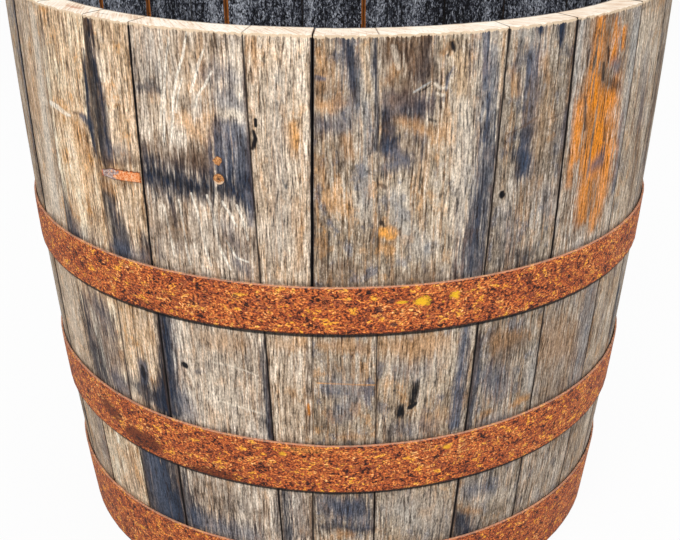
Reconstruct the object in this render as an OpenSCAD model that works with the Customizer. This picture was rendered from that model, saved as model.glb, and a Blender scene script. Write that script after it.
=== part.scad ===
// Half-barrel planter: bowed oak staves held by three riveted steel hoops,
// with a dowelled board floor (the head) seated in a groove round the inside.
// Millimetres. The origin is on the floor, on the barrel's axis. The front is
// towards -Y. An azimuth is an angle round the axis: 0 is the front and 90 is +X.

/* [Barrel] */
// Height from the floor to the sawn rim
height = 580; // [500:5:660]
// Outer diameter across the rim
rim_d = 660; // [600:5:720]
// Outer diameter across the foot
base_d = 570; // [510:5:620]
// How far the middle of a stave bows out from a straight line
bow = 7; // [4:0.5:14]
// Thickness of a stave
stave_t = 25.4; // [20:0.2:32]
// Gap left at each joint between two staves
joint_gap = 0.4; // [0.2:0.1:0.8]
// Height of the bevel inside the foot of the staves
chime_bevel_h = 14; // [6:1:18]
// Depth of that bevel at the floor
chime_bevel_d = 8; // [3:0.5:12]

/* [Groove and head] */
// Height of the groove's centre above the floor
croze_z = 42; // [34:1:60]
// Width of the groove
croze_w = 7; // [5:0.5:10]
// Depth of the groove
croze_depth = 5; // [3:0.5:8]
// Clearance between the head's tongue and the groove
head_fit = 0.3; // [0.2:0.1:0.6]
// Thickness of the head boards
head_t = 22; // [16:1:28]
// Width of the bevel round the head
head_bevel = 26; // [15:1:40]
// Number of boards in the head
boards = 6; // [5:1:7]
// Gap left at each joint between two boards
board_gap = 0.4; // [0.2:0.1:0.8]
// Diameter of the dowels between boards
dowel_d = 10; // [8:1:12]
// Length of the dowels
dowel_len = 50; // [36:2:56]
// Distance of each dowel from the middle of its joint
dowel_y = 110; // [90:5:130]
// Clearance round and past the end of a dowel
dowel_fit = 0.1; // [0.05:0.05:0.3]
// Diameter of the drain holes
drain_d = 19; // [12:1:22]

/* [Hoops] */
// Thickness of the hoop steel
hoop_t = 2; // [1.2:0.1:3]
// Clearance between a hoop and the staves
hoop_fit = 0.2; // [0.1:0.05:0.4]
// Width of the bilge hoop, the upper one
bilge_hoop_w = 46; // [30:1:60]
// Distance from the rim down to the bilge hoop
bilge_hoop_drop = 215; // [180:5:230]
// Width of the quarter hoop, the middle one
quarter_hoop_w = 54; // [30:1:60]
// Height of the quarter hoop's lower edge above the floor
quarter_hoop_z = 150; // [110:2:160]
// Width of the head hoop, the lowest one
head_hoop_w = 72; // [40:2:80]
// Height of the head hoop's lower edge above the floor
head_hoop_z = 2; // [1:1:12]
// Length of the lap where a hoop's ends overlap
lap_len = 64; // [50:2:90]
// Clearance between the two layers of a lap
lap_fit = 0.2; // [0.1:0.05:0.4]
// Length of the step that lifts the outer end over the inner one
lap_step = 6; // [4:1:10]
// Gap between the inner end of a hoop and the step
lap_gap = 2; // [1:0.5:4]
// Azimuth of each lap: bilge, quarter and head hoop
lap_azimuths = [168, 180, 192];

/* [Fastenings] */
// Diameter of a rivet's shank
rivet_d = 6; // [4:0.5:8]
// Diameter of a rivet's domed head
rivet_head_d = 13; // [10:0.5:16]
// Height of that head
rivet_head_h = 3; // [2:0.5:4]
// Widest diameter of the countersunk tail, inside the hoop
rivet_tail_d = 9; // [8.5:0.5:12]
// Depth of that countersink
rivet_tail_h = 1.2; // [0.8:0.1:1.2]
// Distance between the two rivets of a lap
rivet_pitch = 34; // [24:1:38]
// Clearance round a rivet's shank
rivet_fit = 0.1; // [0.05:0.05:0.3]
// Diameter of a nail's shank
nail_d = 4; // [3:0.5:5]
// Length of a nail under its head
nail_len = 18; // [12:1:19]
// Diameter of a nail's head
nail_head_d = 9; // [7:0.5:12]
// Thickness of a nail's head
nail_head_t = 1.5; // [1:0.1:2.5]
// Depth of the nail head's recess in the stave
nail_recess = 1; // [0.6:0.1:1.4]
// Clearance round a nail
nail_fit = 0.1; // [0.05:0.05:0.3]
// Azimuth of the two nails
nail_az = -17.5; // [-24:0.5:-16]
// Distance from the rim down to each nail
nail_drops = [107, 123];
// Length of the cleat across the narrow stave
cleat_len = 44; // [30:1:46]
// Height of the cleat
cleat_h = 9; // [6:0.5:12]
// Thickness of the cleat
cleat_t = 1.6; // [1:0.1:3]
// Distance from the rim down to the middle of the cleat
cleat_drop = 135; // [110:1:150]
// Clearance between the cleat and the stave
cleat_fit = 0.2; // [0.1:0.05:0.4]
// Width of the square prongs that hold the cleat
prong_w = 2.5; // [2:0.5:4]
// Length of a prong in the wood
prong_len = 12; // [8:1:18]
// Distance between the prongs
prong_pitch = 30; // [20:1:30]

/* [Hidden] */
// Each joint between staves: its azimuth at the rim and at the foot
joints = [
    [-62, -66], [-51.5, -54], [-39.5, -41], [-30.5, -31], [-13, -10.2], [-3.5, -5],
    [5.3, 6.7], [23.8, 21.5], [35.7, 36.5], [52, 51.5], [64, 64], [77, 77], [91, 91],
    [105, 105], [120, 120], [138.5, 138.5], [154, 154], [174, 174], [189, 189],
    [208, 208], [217, 217], [229, 229], [243.5, 243.5], [257, 257], [271, 271], [284, 284]
];
// Each drain hole: its board, counted from -X, and its place along that board
drains = [[1, -75], [3, 135], [4, -75]];
// The joints on the two sides of the cleated stave
cleat_joint = 2;

$fn = 180;
arc_fn = 1440;
cut = 1;

// The bow is one large arc through the foot and the rim
rim_r = rim_d / 2;
base_r = base_d / 2;
chord = norm([rim_r - base_r, height]);
arc_r = (chord * chord / 4 + bow * bow) / (2 * bow);
arc_x = (rim_r + base_r) / 2 - (arc_r - bow) * height / chord;
arc_z = height / 2 + (arc_r - bow) * (rim_r - base_r) / chord;
mean_r = (rim_r + base_r) / 2;

STAVES = len(joints);
bilge_hoop_z = height - bilge_hoop_drop - bilge_hoop_w;
head_r = inner_r(croze_z) + croze_depth - head_fit;
head_edge_t = croze_w - 2 * head_fit;
board_w = 2 * head_r / boards;
lap_out = hoop_t + lap_fit;
cleat_az = (joint_mid(cleat_joint) + joint_mid(cleat_joint + 1)) / 2;

STAVE_NAMES = [for (i = [1:STAVES]) str("stave_", i < 10 ? "0" : "", i)];
BOARD_NAMES = [for (i = [1:boards]) str("head_board_", i)];

function outer_r(z) = arc_x + sqrt(arc_r * arc_r - (z - arc_z) * (z - arc_z));
function inner_r(z) = arc_x + sqrt(pow(arc_r - stave_t, 2) - (z - arc_z) * (z - arc_z));
function tilt_at(z) = asin((z - arc_z) / arc_r);
function turn(length, z) = length / outer_r(z) * 180 / PI;
function joint(i) = i < STAVES ? joints[i] : joints[i - STAVES] + [360, 360];
function joint_mid(i) = (joint(i)[0] + joint(i)[1]) / 2;
function joint_lean(i) = atan(mean_r * (joint(i)[0] - joint(i)[1]) * PI / 180 / height);
function on_stave(i, az) = joint_mid(i) < az && az < joint_mid(i + 1);

// Children are drawn with +X along the outward normal of the staves' outer face
module on_surface(az, z) {
    rotate([0, 0, az - 90])
        translate([arc_x, 0, arc_z])
            rotate([0, -tilt_at(z), 0])
                translate([arc_r, 0, 0]) children();
}

// A round bar on +X of the surface frame, from x0 to x1
module bar(d, x0, x1) {
    translate([x0, 0, 0]) rotate([0, 90, 0]) cylinder(d = d, h = x1 - x0);
}

// The disc that bounds the bowed profile, in the radius and height plane
module arc_disc(grow) {
    translate([arc_x, arc_z]) circle(r = arc_r + grow, $fn = arc_fn);
}

// A band that follows the outer face, from inner to outer above it
module band_section(z0, w, inner, outer) {
    difference() {
        intersection() {
            arc_disc(outer);
            translate([0, z0]) square([rim_d, w]);
        }
        arc_disc(inner);
    }
}

// A straight strip that leans with the staves and touches them at its middle
module strip_section(z0, w, inner, outer) {
    z = z0 + w / 2;
    translate([outer_r(z), z]) rotate(tilt_at(z)) translate([inner, -w / 2]) square([outer - inner, w]);
}

module sweep(az0, az1) {
    rotate([0, 0, az0 - 90]) rotate_extrude(angle = az1 - az0) children();
}

// ---- staves ----

module stave_section() {
    foot_r = inner_r(0);
    difference() {
        band_section(0, height, -stave_t, 0);
        translate([inner_r(croze_z) - croze_depth, croze_z - croze_w / 2])
            square([2 * croze_depth, croze_w]);
        polygon([
            [foot_r - cut, -cut], [foot_r + chime_bevel_d, -cut], [foot_r + chime_bevel_d, 0],
            [inner_r(chime_bevel_h), chime_bevel_h], [foot_r - cut, chime_bevel_h]
        ]);
    }
}

// What lies past joint i on one side, with half of the joint's gap
module beyond_joint(i, side) {
    rotate([0, 0, joint_mid(i) - 90])
        translate([mean_r, 0, height / 2])
            rotate([-joint_lean(i), 0, 0])
                translate([-mean_r / 2, side > 0 ? -joint_gap / 2 : joint_gap / 2 - rim_r, -height])
                    cube([mean_r, rim_r, 2 * height]);
}

module nail_holes() {
    for (drop = nail_drops)
        on_surface(nail_az, height - drop) {
            bar(nail_d + 2 * nail_fit, -nail_len - nail_recess - nail_fit, cut);
            bar(nail_head_d + 2 * nail_fit, -nail_recess, nail_head_t + cut);
        }
}

module prongs(grow) {
    for (side = [-1, 1])
        on_surface(cleat_az + side * turn(prong_pitch / 2, height - cleat_drop), height - cleat_drop)
            translate([-prong_len - grow, -prong_w / 2 - grow, -prong_w / 2 - grow])
                cube([prong_len + cleat_fit + cleat_t / 2 + grow, prong_w + 2 * grow, prong_w + 2 * grow]);
}

module stave(i) {
    margin = 3; // degrees of spare sweep past each joint, trimmed off by the joints
    color("tan") difference() {
        sweep(min(joint(i)) - margin, max(joint(i + 1)) + margin) stave_section();
        beyond_joint(i, -1);
        beyond_joint(i + 1, 1);
        if (on_stave(i, nail_az)) nail_holes();
        if (i == cleat_joint) prongs(nail_fit);
    }
}

// ---- head ----

module head_disc() {
    shoulder = head_r - croze_depth - head_fit;
    rotate_extrude() polygon([
        [0, croze_z - head_t / 2], [shoulder - head_bevel, croze_z - head_t / 2],
        [shoulder, croze_z - head_edge_t / 2], [head_r, croze_z - head_edge_t / 2],
        [head_r, croze_z + head_edge_t / 2], [shoulder, croze_z + head_edge_t / 2],
        [shoulder - head_bevel, croze_z + head_t / 2], [0, croze_z + head_t / 2]
    ]);
}

module dowels(grow) {
    for (k = [1:boards - 1], side = [-1, 1])
        translate([k * board_w - head_r, side * dowel_y, croze_z])
            bar(dowel_d + 2 * grow, -dowel_len / 2 - grow, dowel_len / 2 + grow);
}

module drain_holes() {
    for (drain = drains)
        translate([(drain[0] + 0.5) * board_w - head_r, drain[1], croze_z - head_t / 2 - cut])
            cylinder(d = drain_d, h = head_t + 2 * cut);
}

module head_board(k) {
    color("burlywood") difference() {
        intersection() {
            head_disc();
            translate([k * board_w - head_r + board_gap / 2, -rim_r, 0])
                cube([board_w - board_gap, rim_d, 2 * croze_z]);
        }
        dowels(dowel_fit);
        drain_holes();
    }
}

module head_dowels() {
    color("wheat") dowels(0);
}

// ---- hoops ----

module rivet_holes(z, lap_az) {
    for (side = [-1, 1])
        on_surface(lap_az + side * turn(rivet_pitch / 2, z), z) {
            bar(rivet_d + 2 * rivet_fit, -cut, hoop_fit + hoop_t + lap_out + cut);
            translate([hoop_fit - rivet_fit, 0, 0]) tail(rivet_fit);
        }
}

// The countersunk end of a rivet, widest at the hoop's inner face
module tail(grow) {
    rotate([0, 90, 0])
        cylinder(d1 = rivet_tail_d + 2 * grow, d2 = rivet_d + 2 * grow, h = rivet_tail_h + grow);
}

module hoop(z0, w, lap_az) {
    z = z0 + w / 2;
    start = lap_az - turn(lap_len / 2, z);
    step_end = start + 360 - turn(lap_gap, z);
    step_start = step_end - turn(lap_step, z);
    inset = turn(lap_step / 4, z);
    color("sienna") difference() {
        union() {
            sweep(start, step_end) strip_section(z0, w, hoop_fit, hoop_fit + hoop_t);
            sweep(step_start + inset, step_end - inset)
                strip_section(z0, w, hoop_fit + hoop_t / 2, hoop_fit + hoop_t / 2 + lap_out);
            sweep(step_start, start + 360 + turn(lap_len, z))
                strip_section(z0, w, hoop_fit + lap_out, hoop_fit + hoop_t + lap_out);
        }
        rivet_holes(z, lap_az);
    }
}

module hoop_rivets(z0, w, lap_az) {
    z = z0 + w / 2;
    outer = hoop_fit + hoop_t + lap_out;
    dome_r = (rivet_head_d * rivet_head_d / 4 + rivet_head_h * rivet_head_h) / (2 * rivet_head_h);
    color("saddlebrown") for (side = [-1, 1])
        on_surface(lap_az + side * turn(rivet_pitch / 2, z), z) {
            bar(rivet_d, hoop_fit, outer + cut);
            translate([hoop_fit, 0, 0]) tail(0);
            intersection() {
                translate([outer + lap_fit + rivet_head_h - dome_r, 0, 0]) sphere(r = dome_r);
                bar(rivet_head_d, outer + lap_fit, outer + lap_fit + rivet_head_h);
            }
        }
}

module bilge_hoop() { hoop(bilge_hoop_z, bilge_hoop_w, lap_azimuths[0]); }
module quarter_hoop() { hoop(quarter_hoop_z, quarter_hoop_w, lap_azimuths[1]); }
module head_hoop() { hoop(head_hoop_z, head_hoop_w, lap_azimuths[2]); }
module bilge_hoop_rivets() { hoop_rivets(bilge_hoop_z, bilge_hoop_w, lap_azimuths[0]); }
module quarter_hoop_rivets() { hoop_rivets(quarter_hoop_z, quarter_hoop_w, lap_azimuths[1]); }
module head_hoop_rivets() { hoop_rivets(head_hoop_z, head_hoop_w, lap_azimuths[2]); }

// ---- nails and cleat ----

module stave_nails() {
    color("saddlebrown") for (drop = nail_drops)
        on_surface(nail_az, height - drop) {
            bar(nail_d, -nail_len - nail_recess, -nail_recess + cut);
            bar(nail_head_d, -nail_recess, nail_head_t - nail_recess);
        }
}

module cleat() {
    half = turn(cleat_len / 2, height - cleat_drop);
    color("chocolate") union() {
        sweep(cleat_az - half, cleat_az + half)
            band_section(height - cleat_drop - cleat_h / 2, cleat_h, cleat_fit, cleat_fit + cleat_t);
        prongs(0);
    }
}

for (i = [0:STAVES - 1]) stave(i);
for (k = [0:boards - 1]) head_board(k);
head_dowels();
bilge_hoop();
quarter_hoop();
head_hoop();
bilge_hoop_rivets();
quarter_hoop_rivets();
head_hoop_rivets();
stave_nails();
cleat();
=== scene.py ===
"""Looks of a wooden half-barrel planter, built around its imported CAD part.

Everything is in metres. The origin is on the floor, on the barrel's axis, and
the front is towards -Y. An azimuth is an angle round the axis in degrees: 0 is
the front and 90 is +X. Sizes named in millimetres end in _mm.
"""

import logging
import math
from dataclasses import dataclass, field
from enum import Enum
from functools import cache
from typing import Optional, Sequence, Union

import bpy
import numpy as np
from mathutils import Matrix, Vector


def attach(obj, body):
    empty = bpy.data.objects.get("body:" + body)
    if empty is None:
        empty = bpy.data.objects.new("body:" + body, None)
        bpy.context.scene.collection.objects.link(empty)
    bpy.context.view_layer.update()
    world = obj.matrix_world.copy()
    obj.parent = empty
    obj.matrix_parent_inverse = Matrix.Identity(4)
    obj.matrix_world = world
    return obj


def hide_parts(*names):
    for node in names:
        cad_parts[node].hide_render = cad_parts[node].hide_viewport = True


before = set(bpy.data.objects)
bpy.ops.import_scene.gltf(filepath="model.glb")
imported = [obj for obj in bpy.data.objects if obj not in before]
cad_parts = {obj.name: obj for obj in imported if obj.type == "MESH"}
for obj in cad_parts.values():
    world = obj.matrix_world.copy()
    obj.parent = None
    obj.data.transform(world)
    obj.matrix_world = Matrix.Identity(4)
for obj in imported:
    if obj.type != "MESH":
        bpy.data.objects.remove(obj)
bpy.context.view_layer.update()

LOG = logging.getLogger("planter")
MM = 0.001
HAIR = 1e-6  # lengths and shares below this count as nothing
LAY_RADIUS = 0.320  # metres of arc in the "lay" attribute per radian of azimuth
Colour = tuple[float, float, float, float]
Triple = tuple[float, float, float]


def srgb(red: int, green: int, blue: int) -> Colour:
    """Turn a paint-chart colour into the linear one that a shader takes.

    Args:
        red: Red, from 0 to 255.
        green: Green, from 0 to 255.
        blue: Blue, from 0 to 255.

    Returns:
        The linear colour with full alpha.
    """
    def line(value: int) -> float:
        """Undo the display curve of one channel."""
        v = value / 255
        return v / 12.92 if v <= 0.04045 else ((v + 0.055) / 1.055) ** 2.4

    return (line(red), line(green), line(blue), 1.0)


# ---------------------------------------------------------------- shader bench


class Paint:
    """A node's output that takes Python's operators; each adds its Math node."""

    def __init__(self, bench: "Bench", socket: bpy.types.NodeSocket) -> None:
        """Wrap one output socket of a bench's tree."""
        self.bench = bench
        self.socket = socket

    def __add__(self, other: "Value") -> "Paint":
        """Add a value."""
        return self.bench.maths("ADD", self, other)

    def __radd__(self, other: "Value") -> "Paint":
        """Add this to a value."""
        return self.bench.maths("ADD", other, self)

    def __sub__(self, other: "Value") -> "Paint":
        """Take a value away."""
        return self.bench.maths("SUBTRACT", self, other)

    def __rsub__(self, other: "Value") -> "Paint":
        """Take this away from a value."""
        return self.bench.maths("SUBTRACT", other, self)

    def __mul__(self, other: "Value") -> "Paint":
        """Multiply by a value."""
        return self.bench.maths("MULTIPLY", self, other)

    def __rmul__(self, other: "Value") -> "Paint":
        """Multiply a value by this."""
        return self.bench.maths("MULTIPLY", other, self)

    def __truediv__(self, other: "Value") -> "Paint":
        """Divide by a value."""
        return self.bench.maths("DIVIDE", self, other)

    def __rtruediv__(self, other: "Value") -> "Paint":
        """Divide a value by this."""
        return self.bench.maths("DIVIDE", other, self)

    def __abs__(self) -> "Paint":
        """Drop the sign."""
        return self.bench.maths("ABSOLUTE", self)


Value = Union[Paint, float, int]


class Bench:
    """A node tree, with a short way to add and wire its nodes."""

    def __init__(self, tree: bpy.types.NodeTree) -> None:
        """Take a tree and clear it."""
        self.tree = tree
        tree.nodes.clear()

    def node(self, kind: str, settings: Optional[dict] = None,
             inputs: Optional[dict] = None, out: Union[int, str] = 0) -> Paint:
        """Add a node, with its settings first and its sockets after them.

        Args:
            kind: The node's type.
            settings: Properties of the node; "stops" fills a ramp.
            inputs: Values or links by socket name or number.
            out: Name or number of the output that is wanted.

        Returns:
            The wanted output.
        """
        node = self.tree.nodes.new(kind)
        for key, value in (settings or {}).items():
            if key == "stops":
                self._set_stops(node.color_ramp, value)
            else:
                setattr(node, key, value)
        for key, value in (inputs or {}).items():
            if isinstance(value, Paint):
                self.tree.links.new(value.socket, node.inputs[key])
            else:
                node.inputs[key].default_value = value
        return Paint(self, node.outputs[out])

    @staticmethod
    def _set_stops(ramp: bpy.types.ColorRamp, stops: Sequence[tuple[float, Colour]]) -> None:
        """Place a ramp's stops.

        Args:
            ramp: The ramp, with its two first stops.
            stops: Two or more (place, colour) pairs in order.
        """
        while len(ramp.elements) < len(stops):
            ramp.elements.new(1.0)
        for element, (place, colour) in zip(ramp.elements, stops):
            element.position = place
            element.color = colour

    def end(self, kind: str, socket: str, result: Paint) -> None:
        """Add an output node and wire a result to its socket."""
        self.tree.links.new(result.socket, self.tree.nodes.new(kind).inputs[socket])

    def maths(self, operation: str, *values: Value) -> Paint:
        """Add a Math node, with its values in order."""
        return self.node("ShaderNodeMath", {"operation": operation}, dict(enumerate(values)))

    def vector(self, operation: str, *values: Union[Paint, Sequence[float]]) -> Paint:
        """Add a Vector Math node, and take its number where the operation gives one."""
        out = "Value" if operation in ("DISTANCE", "DOT_PRODUCT", "LENGTH") else "Vector"
        return self.node("ShaderNodeVectorMath", {"operation": operation}, dict(enumerate(values)), out)

    def gain(self, colour: Union[Paint, Sequence[float]], factor: Paint) -> Paint:
        """Scale a colour or another vector by a factor."""
        return self.node("ShaderNodeVectorMath", {"operation": "SCALE"},
                         {"Vector": colour, "Scale": factor})

    def stretch(self, place: Paint, scale: Triple, offset: Triple = (0.0, 0.0, 0.0)) -> Paint:
        """Scale a vector on each axis and then move it."""
        return self.vector("MULTIPLY_ADD", place, scale, offset)

    def smooth(self, value: Value, start: float, end: float) -> Paint:
        """Ease from 0 where value is start to 1 where it is end."""
        return self.node("ShaderNodeMapRange", {"interpolation_type": "SMOOTHSTEP"},
                         {"Value": value, "From Min": start, "From Max": end})

    def mix(self, share: Value, first: Union[Paint, Colour], second: Union[Paint, Colour]) -> Paint:
        """Mix two colours, from the first at a share of 0 to the second at 1."""
        return self.node("ShaderNodeMix", {"data_type": "RGBA"}, {0: share, 6: first, 7: second}, out=2)

    def ramp(self, value: Paint, *stops: tuple[float, Colour]) -> Paint:
        """Turn a value into a colour, through (place, colour) stops."""
        return self.node("ShaderNodeValToRGB", {"stops": stops}, {0: value})

    def noise(self, place: Paint, scale: Triple, detail: float, roughness: float = 0.5,
              offset: Triple = (0.0, 0.0, 0.0), distortion: float = 0.0) -> Paint:
        """Sample smooth noise round zero, from about -0.25 to 0.25.

        Args:
            place: The coordinates.
            scale: How often the noise waves per metre on each axis.
            detail: How many finer sizes are added.
            roughness: How strong the finer sizes are.
            offset: What is added to the scaled coordinates.
            distortion: How much the noise swirls.

        Returns:
            The noise.
        """
        return self.node("ShaderNodeTexNoise", {"noise_dimensions": "3D"}, {
            "Vector": self.stretch(place, scale, offset), "Scale": 1.0, "Detail": detail,
            "Roughness": roughness, "Distortion": distortion}) - 0.5

    def here(self) -> Paint:
        """Read the Object coordinates, in metres of the part's own frame."""
        return self.node("ShaderNodeTexCoord", out="Object")

    def attribute(self, name: str) -> Paint:
        """Read a vector attribute of the piece."""
        return self.node("ShaderNodeAttribute", {"attribute_name": name}, out="Vector")

    def split(self, place: Paint) -> tuple[Paint, ...]:
        """Take a vector apart into its three values."""
        parts = self.node("ShaderNodeSeparateXYZ", inputs={0: place}).socket.node.outputs
        return tuple(Paint(self, part) for part in parts)


class Coating(Bench):
    """The node tree of one material."""

    def __init__(self, name: str) -> None:
        """Start an empty material.

        Args:
            name: The material's name.
        """
        self.material = bpy.data.materials.new(name)
        self.material.use_nodes = True
        super().__init__(self.material.node_tree)

    def finish(self, colour: Paint, roughness: Value, height: Paint, depth_mm: float,
               shine: float) -> bpy.types.Material:
        """Close the tree with one Principled shader.

        Args:
            colour: Base colour.
            roughness: Roughness.
            height: Relief, in shares of depth_mm.
            depth_mm: Depth of that relief in millimetres.
            shine: Specular level, the same all over.

        Returns:
            The material.
        """
        relief = self.node("ShaderNodeBump", inputs={
            "Strength": 1.0, "Distance": depth_mm * MM, "Height": height})
        return self.close(self.node("ShaderNodeBsdfPrincipled", inputs={
            "Base Color": colour, "Roughness": roughness, "Specular IOR Level": shine, "Normal": relief}))

    def close(self, shader: Paint) -> bpy.types.Material:
        """Wire a shader to the output and return the material."""
        self.end("ShaderNodeOutputMaterial", "Surface", shader)
        return self.material


class Recipe(Bench):
    """A group of nodes that materials share, with named inputs and one result."""

    def __init__(self, name: str, inputs: dict[str, str], result: str) -> None:
        """Start an empty group.

        Args:
            name: The group's name.
            inputs: The kind of each input, "Float", "Vector" or "Color", by its name.
            result: The kind of the result.
        """
        super().__init__(bpy.data.node_groups.new(name, "ShaderNodeTree"))
        for label, kind in inputs.items():
            self.tree.interface.new_socket(label, in_out="INPUT", socket_type="NodeSocket" + kind)
        self.tree.interface.new_socket("Result", in_out="OUTPUT", socket_type="NodeSocket" + result)
        self.entry = self.tree.nodes.new("NodeGroupInput")

    def given(self, label: str) -> Paint:
        """Take one of the inputs."""
        return Paint(self, self.entry.outputs[label])

    def serve(self, result: Paint) -> bpy.types.NodeTree:
        """Wire the result out and return the finished group."""
        self.end("NodeGroupOutput", "Result", result)
        return self.tree


# ---------------------------------------------------------------- placed marks


class Hue(Enum):
    """Colours of the marks that weather and use have left."""

    INK = srgb(36, 45, 62)
    SLATE = srgb(77, 89, 110)
    SOOT = srgb(24, 23, 26)
    BROWN = srgb(112, 84, 60)
    UMBER = srgb(84, 60, 46)
    RUST = srgb(246, 146, 6)
    AMBER = srgb(232, 162, 78)
    TAN = srgb(206, 170, 130)
    HONEY = srgb(188, 138, 88)
    PALE = srgb(228, 212, 192)
    CREAM = srgb(246, 236, 220)
    ASH = srgb(176, 174, 170)
    YELLOW = srgb(255, 198, 38)
    DARK_RUST = srgb(104, 46, 22)
    PLUM = srgb(84, 50, 44)

    def line(self, strength: float, *points: Triple, torn: float = 1.0) -> "Stroke":
        """Draw a stain through points of (azimuth, height_mm, half_width_mm)."""
        return Stroke(self, strength, points, torn)

    def wash(self, strength: float, *points: Triple) -> "Stroke":
        """Draw a stain like a line's, with a softer and more ragged outline."""
        return self.line(strength, *points, torn=1.6)


# Every hue by its own name, for the lists of marks below
INK, SLATE, SOOT, BROWN, UMBER, RUST, AMBER, TAN, HONEY, PALE, CREAM, ASH, YELLOW, DARK_RUST, PLUM = Hue


@dataclass(frozen=True)
class Mark:
    """One ragged patch, laid on a surface by azimuth and height.

    Sizes are half widths. The lean is how far the patch moves to the right for
    each millimetre that it climbs.
    """

    hue: Hue
    azimuth: float
    height_mm: float
    across_mm: float
    along_mm: float
    strength: float = 1.0
    ragged: float = 0.9
    soft: float = 0.6
    lean: float = 0.0

    def mask(self, bench: Bench, lay: Paint, breakup: Paint) -> Paint:
        """Build the patch's share of the surface.

        Args:
            bench: The material's bench.
            lay: The surface's own coordinates.
            breakup: Noise round zero that makes the outline ragged.

        Returns:
            A value from 0 to the patch's strength.
        """
        wide, tall = self.across_mm * MM, self.along_mm * MM
        middle, height = math.radians(self.azimuth) * LAY_RADIUS, self.height_mm * MM
        side = bench.vector("DOT_PRODUCT", lay, (1 / wide, -self.lean / wide, 0.0))
        rise = bench.vector("DOT_PRODUCT", lay, (0.0, 1 / tall, 0.0))
        away = bench.node("ShaderNodeCombineXYZ", inputs={
            0: side - (middle - self.lean * height) / wide, 1: rise - height / tall})
        reach = bench.vector("LENGTH", away) + breakup * self.ragged
        return bench.smooth(reach, 1.0, 1.0 - self.soft) * self.strength


@dataclass(frozen=True)
class Stroke:
    """One stain drawn as a line through points of (azimuth, height_mm, half_width_mm).

    Torn says how ragged and soft its outline is for its width: 1 is usual.
    """

    hue: Hue
    strength: float
    points: tuple[Triple, ...]
    torn: float = 1.0

    def lay_on(self, bench: Bench, colour: Paint, flat: Paint, breakup: Paint, density: Value) -> Paint:
        """Lay the stain over a colour.

        Args:
            bench: The material's bench.
            colour: The colour so far.
            flat: The surface's own coordinates, without the depth.
            breakup: Noise round zero that makes the outline ragged.
            density: How thick stains lie, up to 1.

        Returns:
            The colour with the stain on it.
        """
        spots = [(math.radians(azimuth) * LAY_RADIUS, height * MM, half * MM)
                 for azimuth, height, half in self.points]
        widest = max(half for _, _, half in spots)
        if len(spots) == 1:
            across, up, half = spots[0]
            spots.append((across, up + MM / 10, half))
        reach: Value = 1.0
        for first, second in zip(spots, spots[1:]):
            across, up = second[0] - first[0], second[1] - first[1]
            square = across * across + up * up
            reach = bench.node("ShaderNodeGroup", {"node_tree": line_recipe()}, {
                "Flat": flat, "Nearest": reach, "Start": (first[0], first[1], 0.0),
                "Run": (across, up, 0.0), "Unit": (across / square, up / square, 0.0),
                "Half": first[2], "Widening": second[2] - first[2]})
        return bench.node("ShaderNodeGroup", {"node_tree": coat_recipe()}, {
            "Under": colour, "Reach": reach, "Breakup": breakup, "Density": density,
            "Ragged": self.torn * (0.2 * MM + 1.7 * widest), "Soft": self.torn * (0.2 * MM + 0.6 * widest),
            "Strength": self.strength, "Hue": self.hue.value})


@cache
def line_recipe() -> bpy.types.NodeTree:
    """Build the group that measures the distance outside a tapered line.

    Returns:
        The group, whose result is the smaller of that distance and "Nearest".
    """
    recipe = Recipe("stain_line", {"Flat": "Vector", "Nearest": "Float", "Start": "Vector", "Run": "Vector",
                                   "Unit": "Vector", "Half": "Float", "Widening": "Float"}, "Float")
    there = recipe.vector("SUBTRACT", recipe.given("Flat"), recipe.given("Start"))
    along = recipe.vector("DOT_PRODUCT", there, recipe.given("Unit"))
    along = recipe.maths("MINIMUM", recipe.maths("MAXIMUM", along, 0.0), 1.0)
    away = recipe.vector("DISTANCE", there, recipe.gain(recipe.given("Run"), along))
    half = along * recipe.given("Widening") + recipe.given("Half")
    return recipe.serve(recipe.maths("MINIMUM", away - half, recipe.given("Nearest")))


@cache
def coat_recipe() -> bpy.types.NodeTree:
    """Build the group that lays one stain over a colour.

    Returns:
        The group, whose result is the new colour.
    """
    recipe = Recipe("stain_coat", {"Under": "Color", "Reach": "Float", "Breakup": "Float",
                                   "Density": "Float", "Ragged": "Float", "Soft": "Float",
                                   "Strength": "Float", "Hue": "Color"}, "Color")
    edge = recipe.given("Breakup") * recipe.given("Ragged") + recipe.given("Reach")
    share = recipe.smooth(edge / recipe.given("Soft"), 1.0, -1.0)
    share = share * recipe.given("Strength") * recipe.given("Density")
    return recipe.serve(recipe.mix(share, recipe.given("Under"), recipe.given("Hue")))


# ---------------------------------------------------------------- shaping


# What scrambles a noise cell's corner, its octave and its seed into one whole number
CORNER_STEPS = np.array([374761393, 668265263, 1442695041])
OCTAVE_STEP = 15731
SEED_STEP = 974711
MIXER = 1274126177
LOW_WORD = 0xFFFFFFFF


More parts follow.
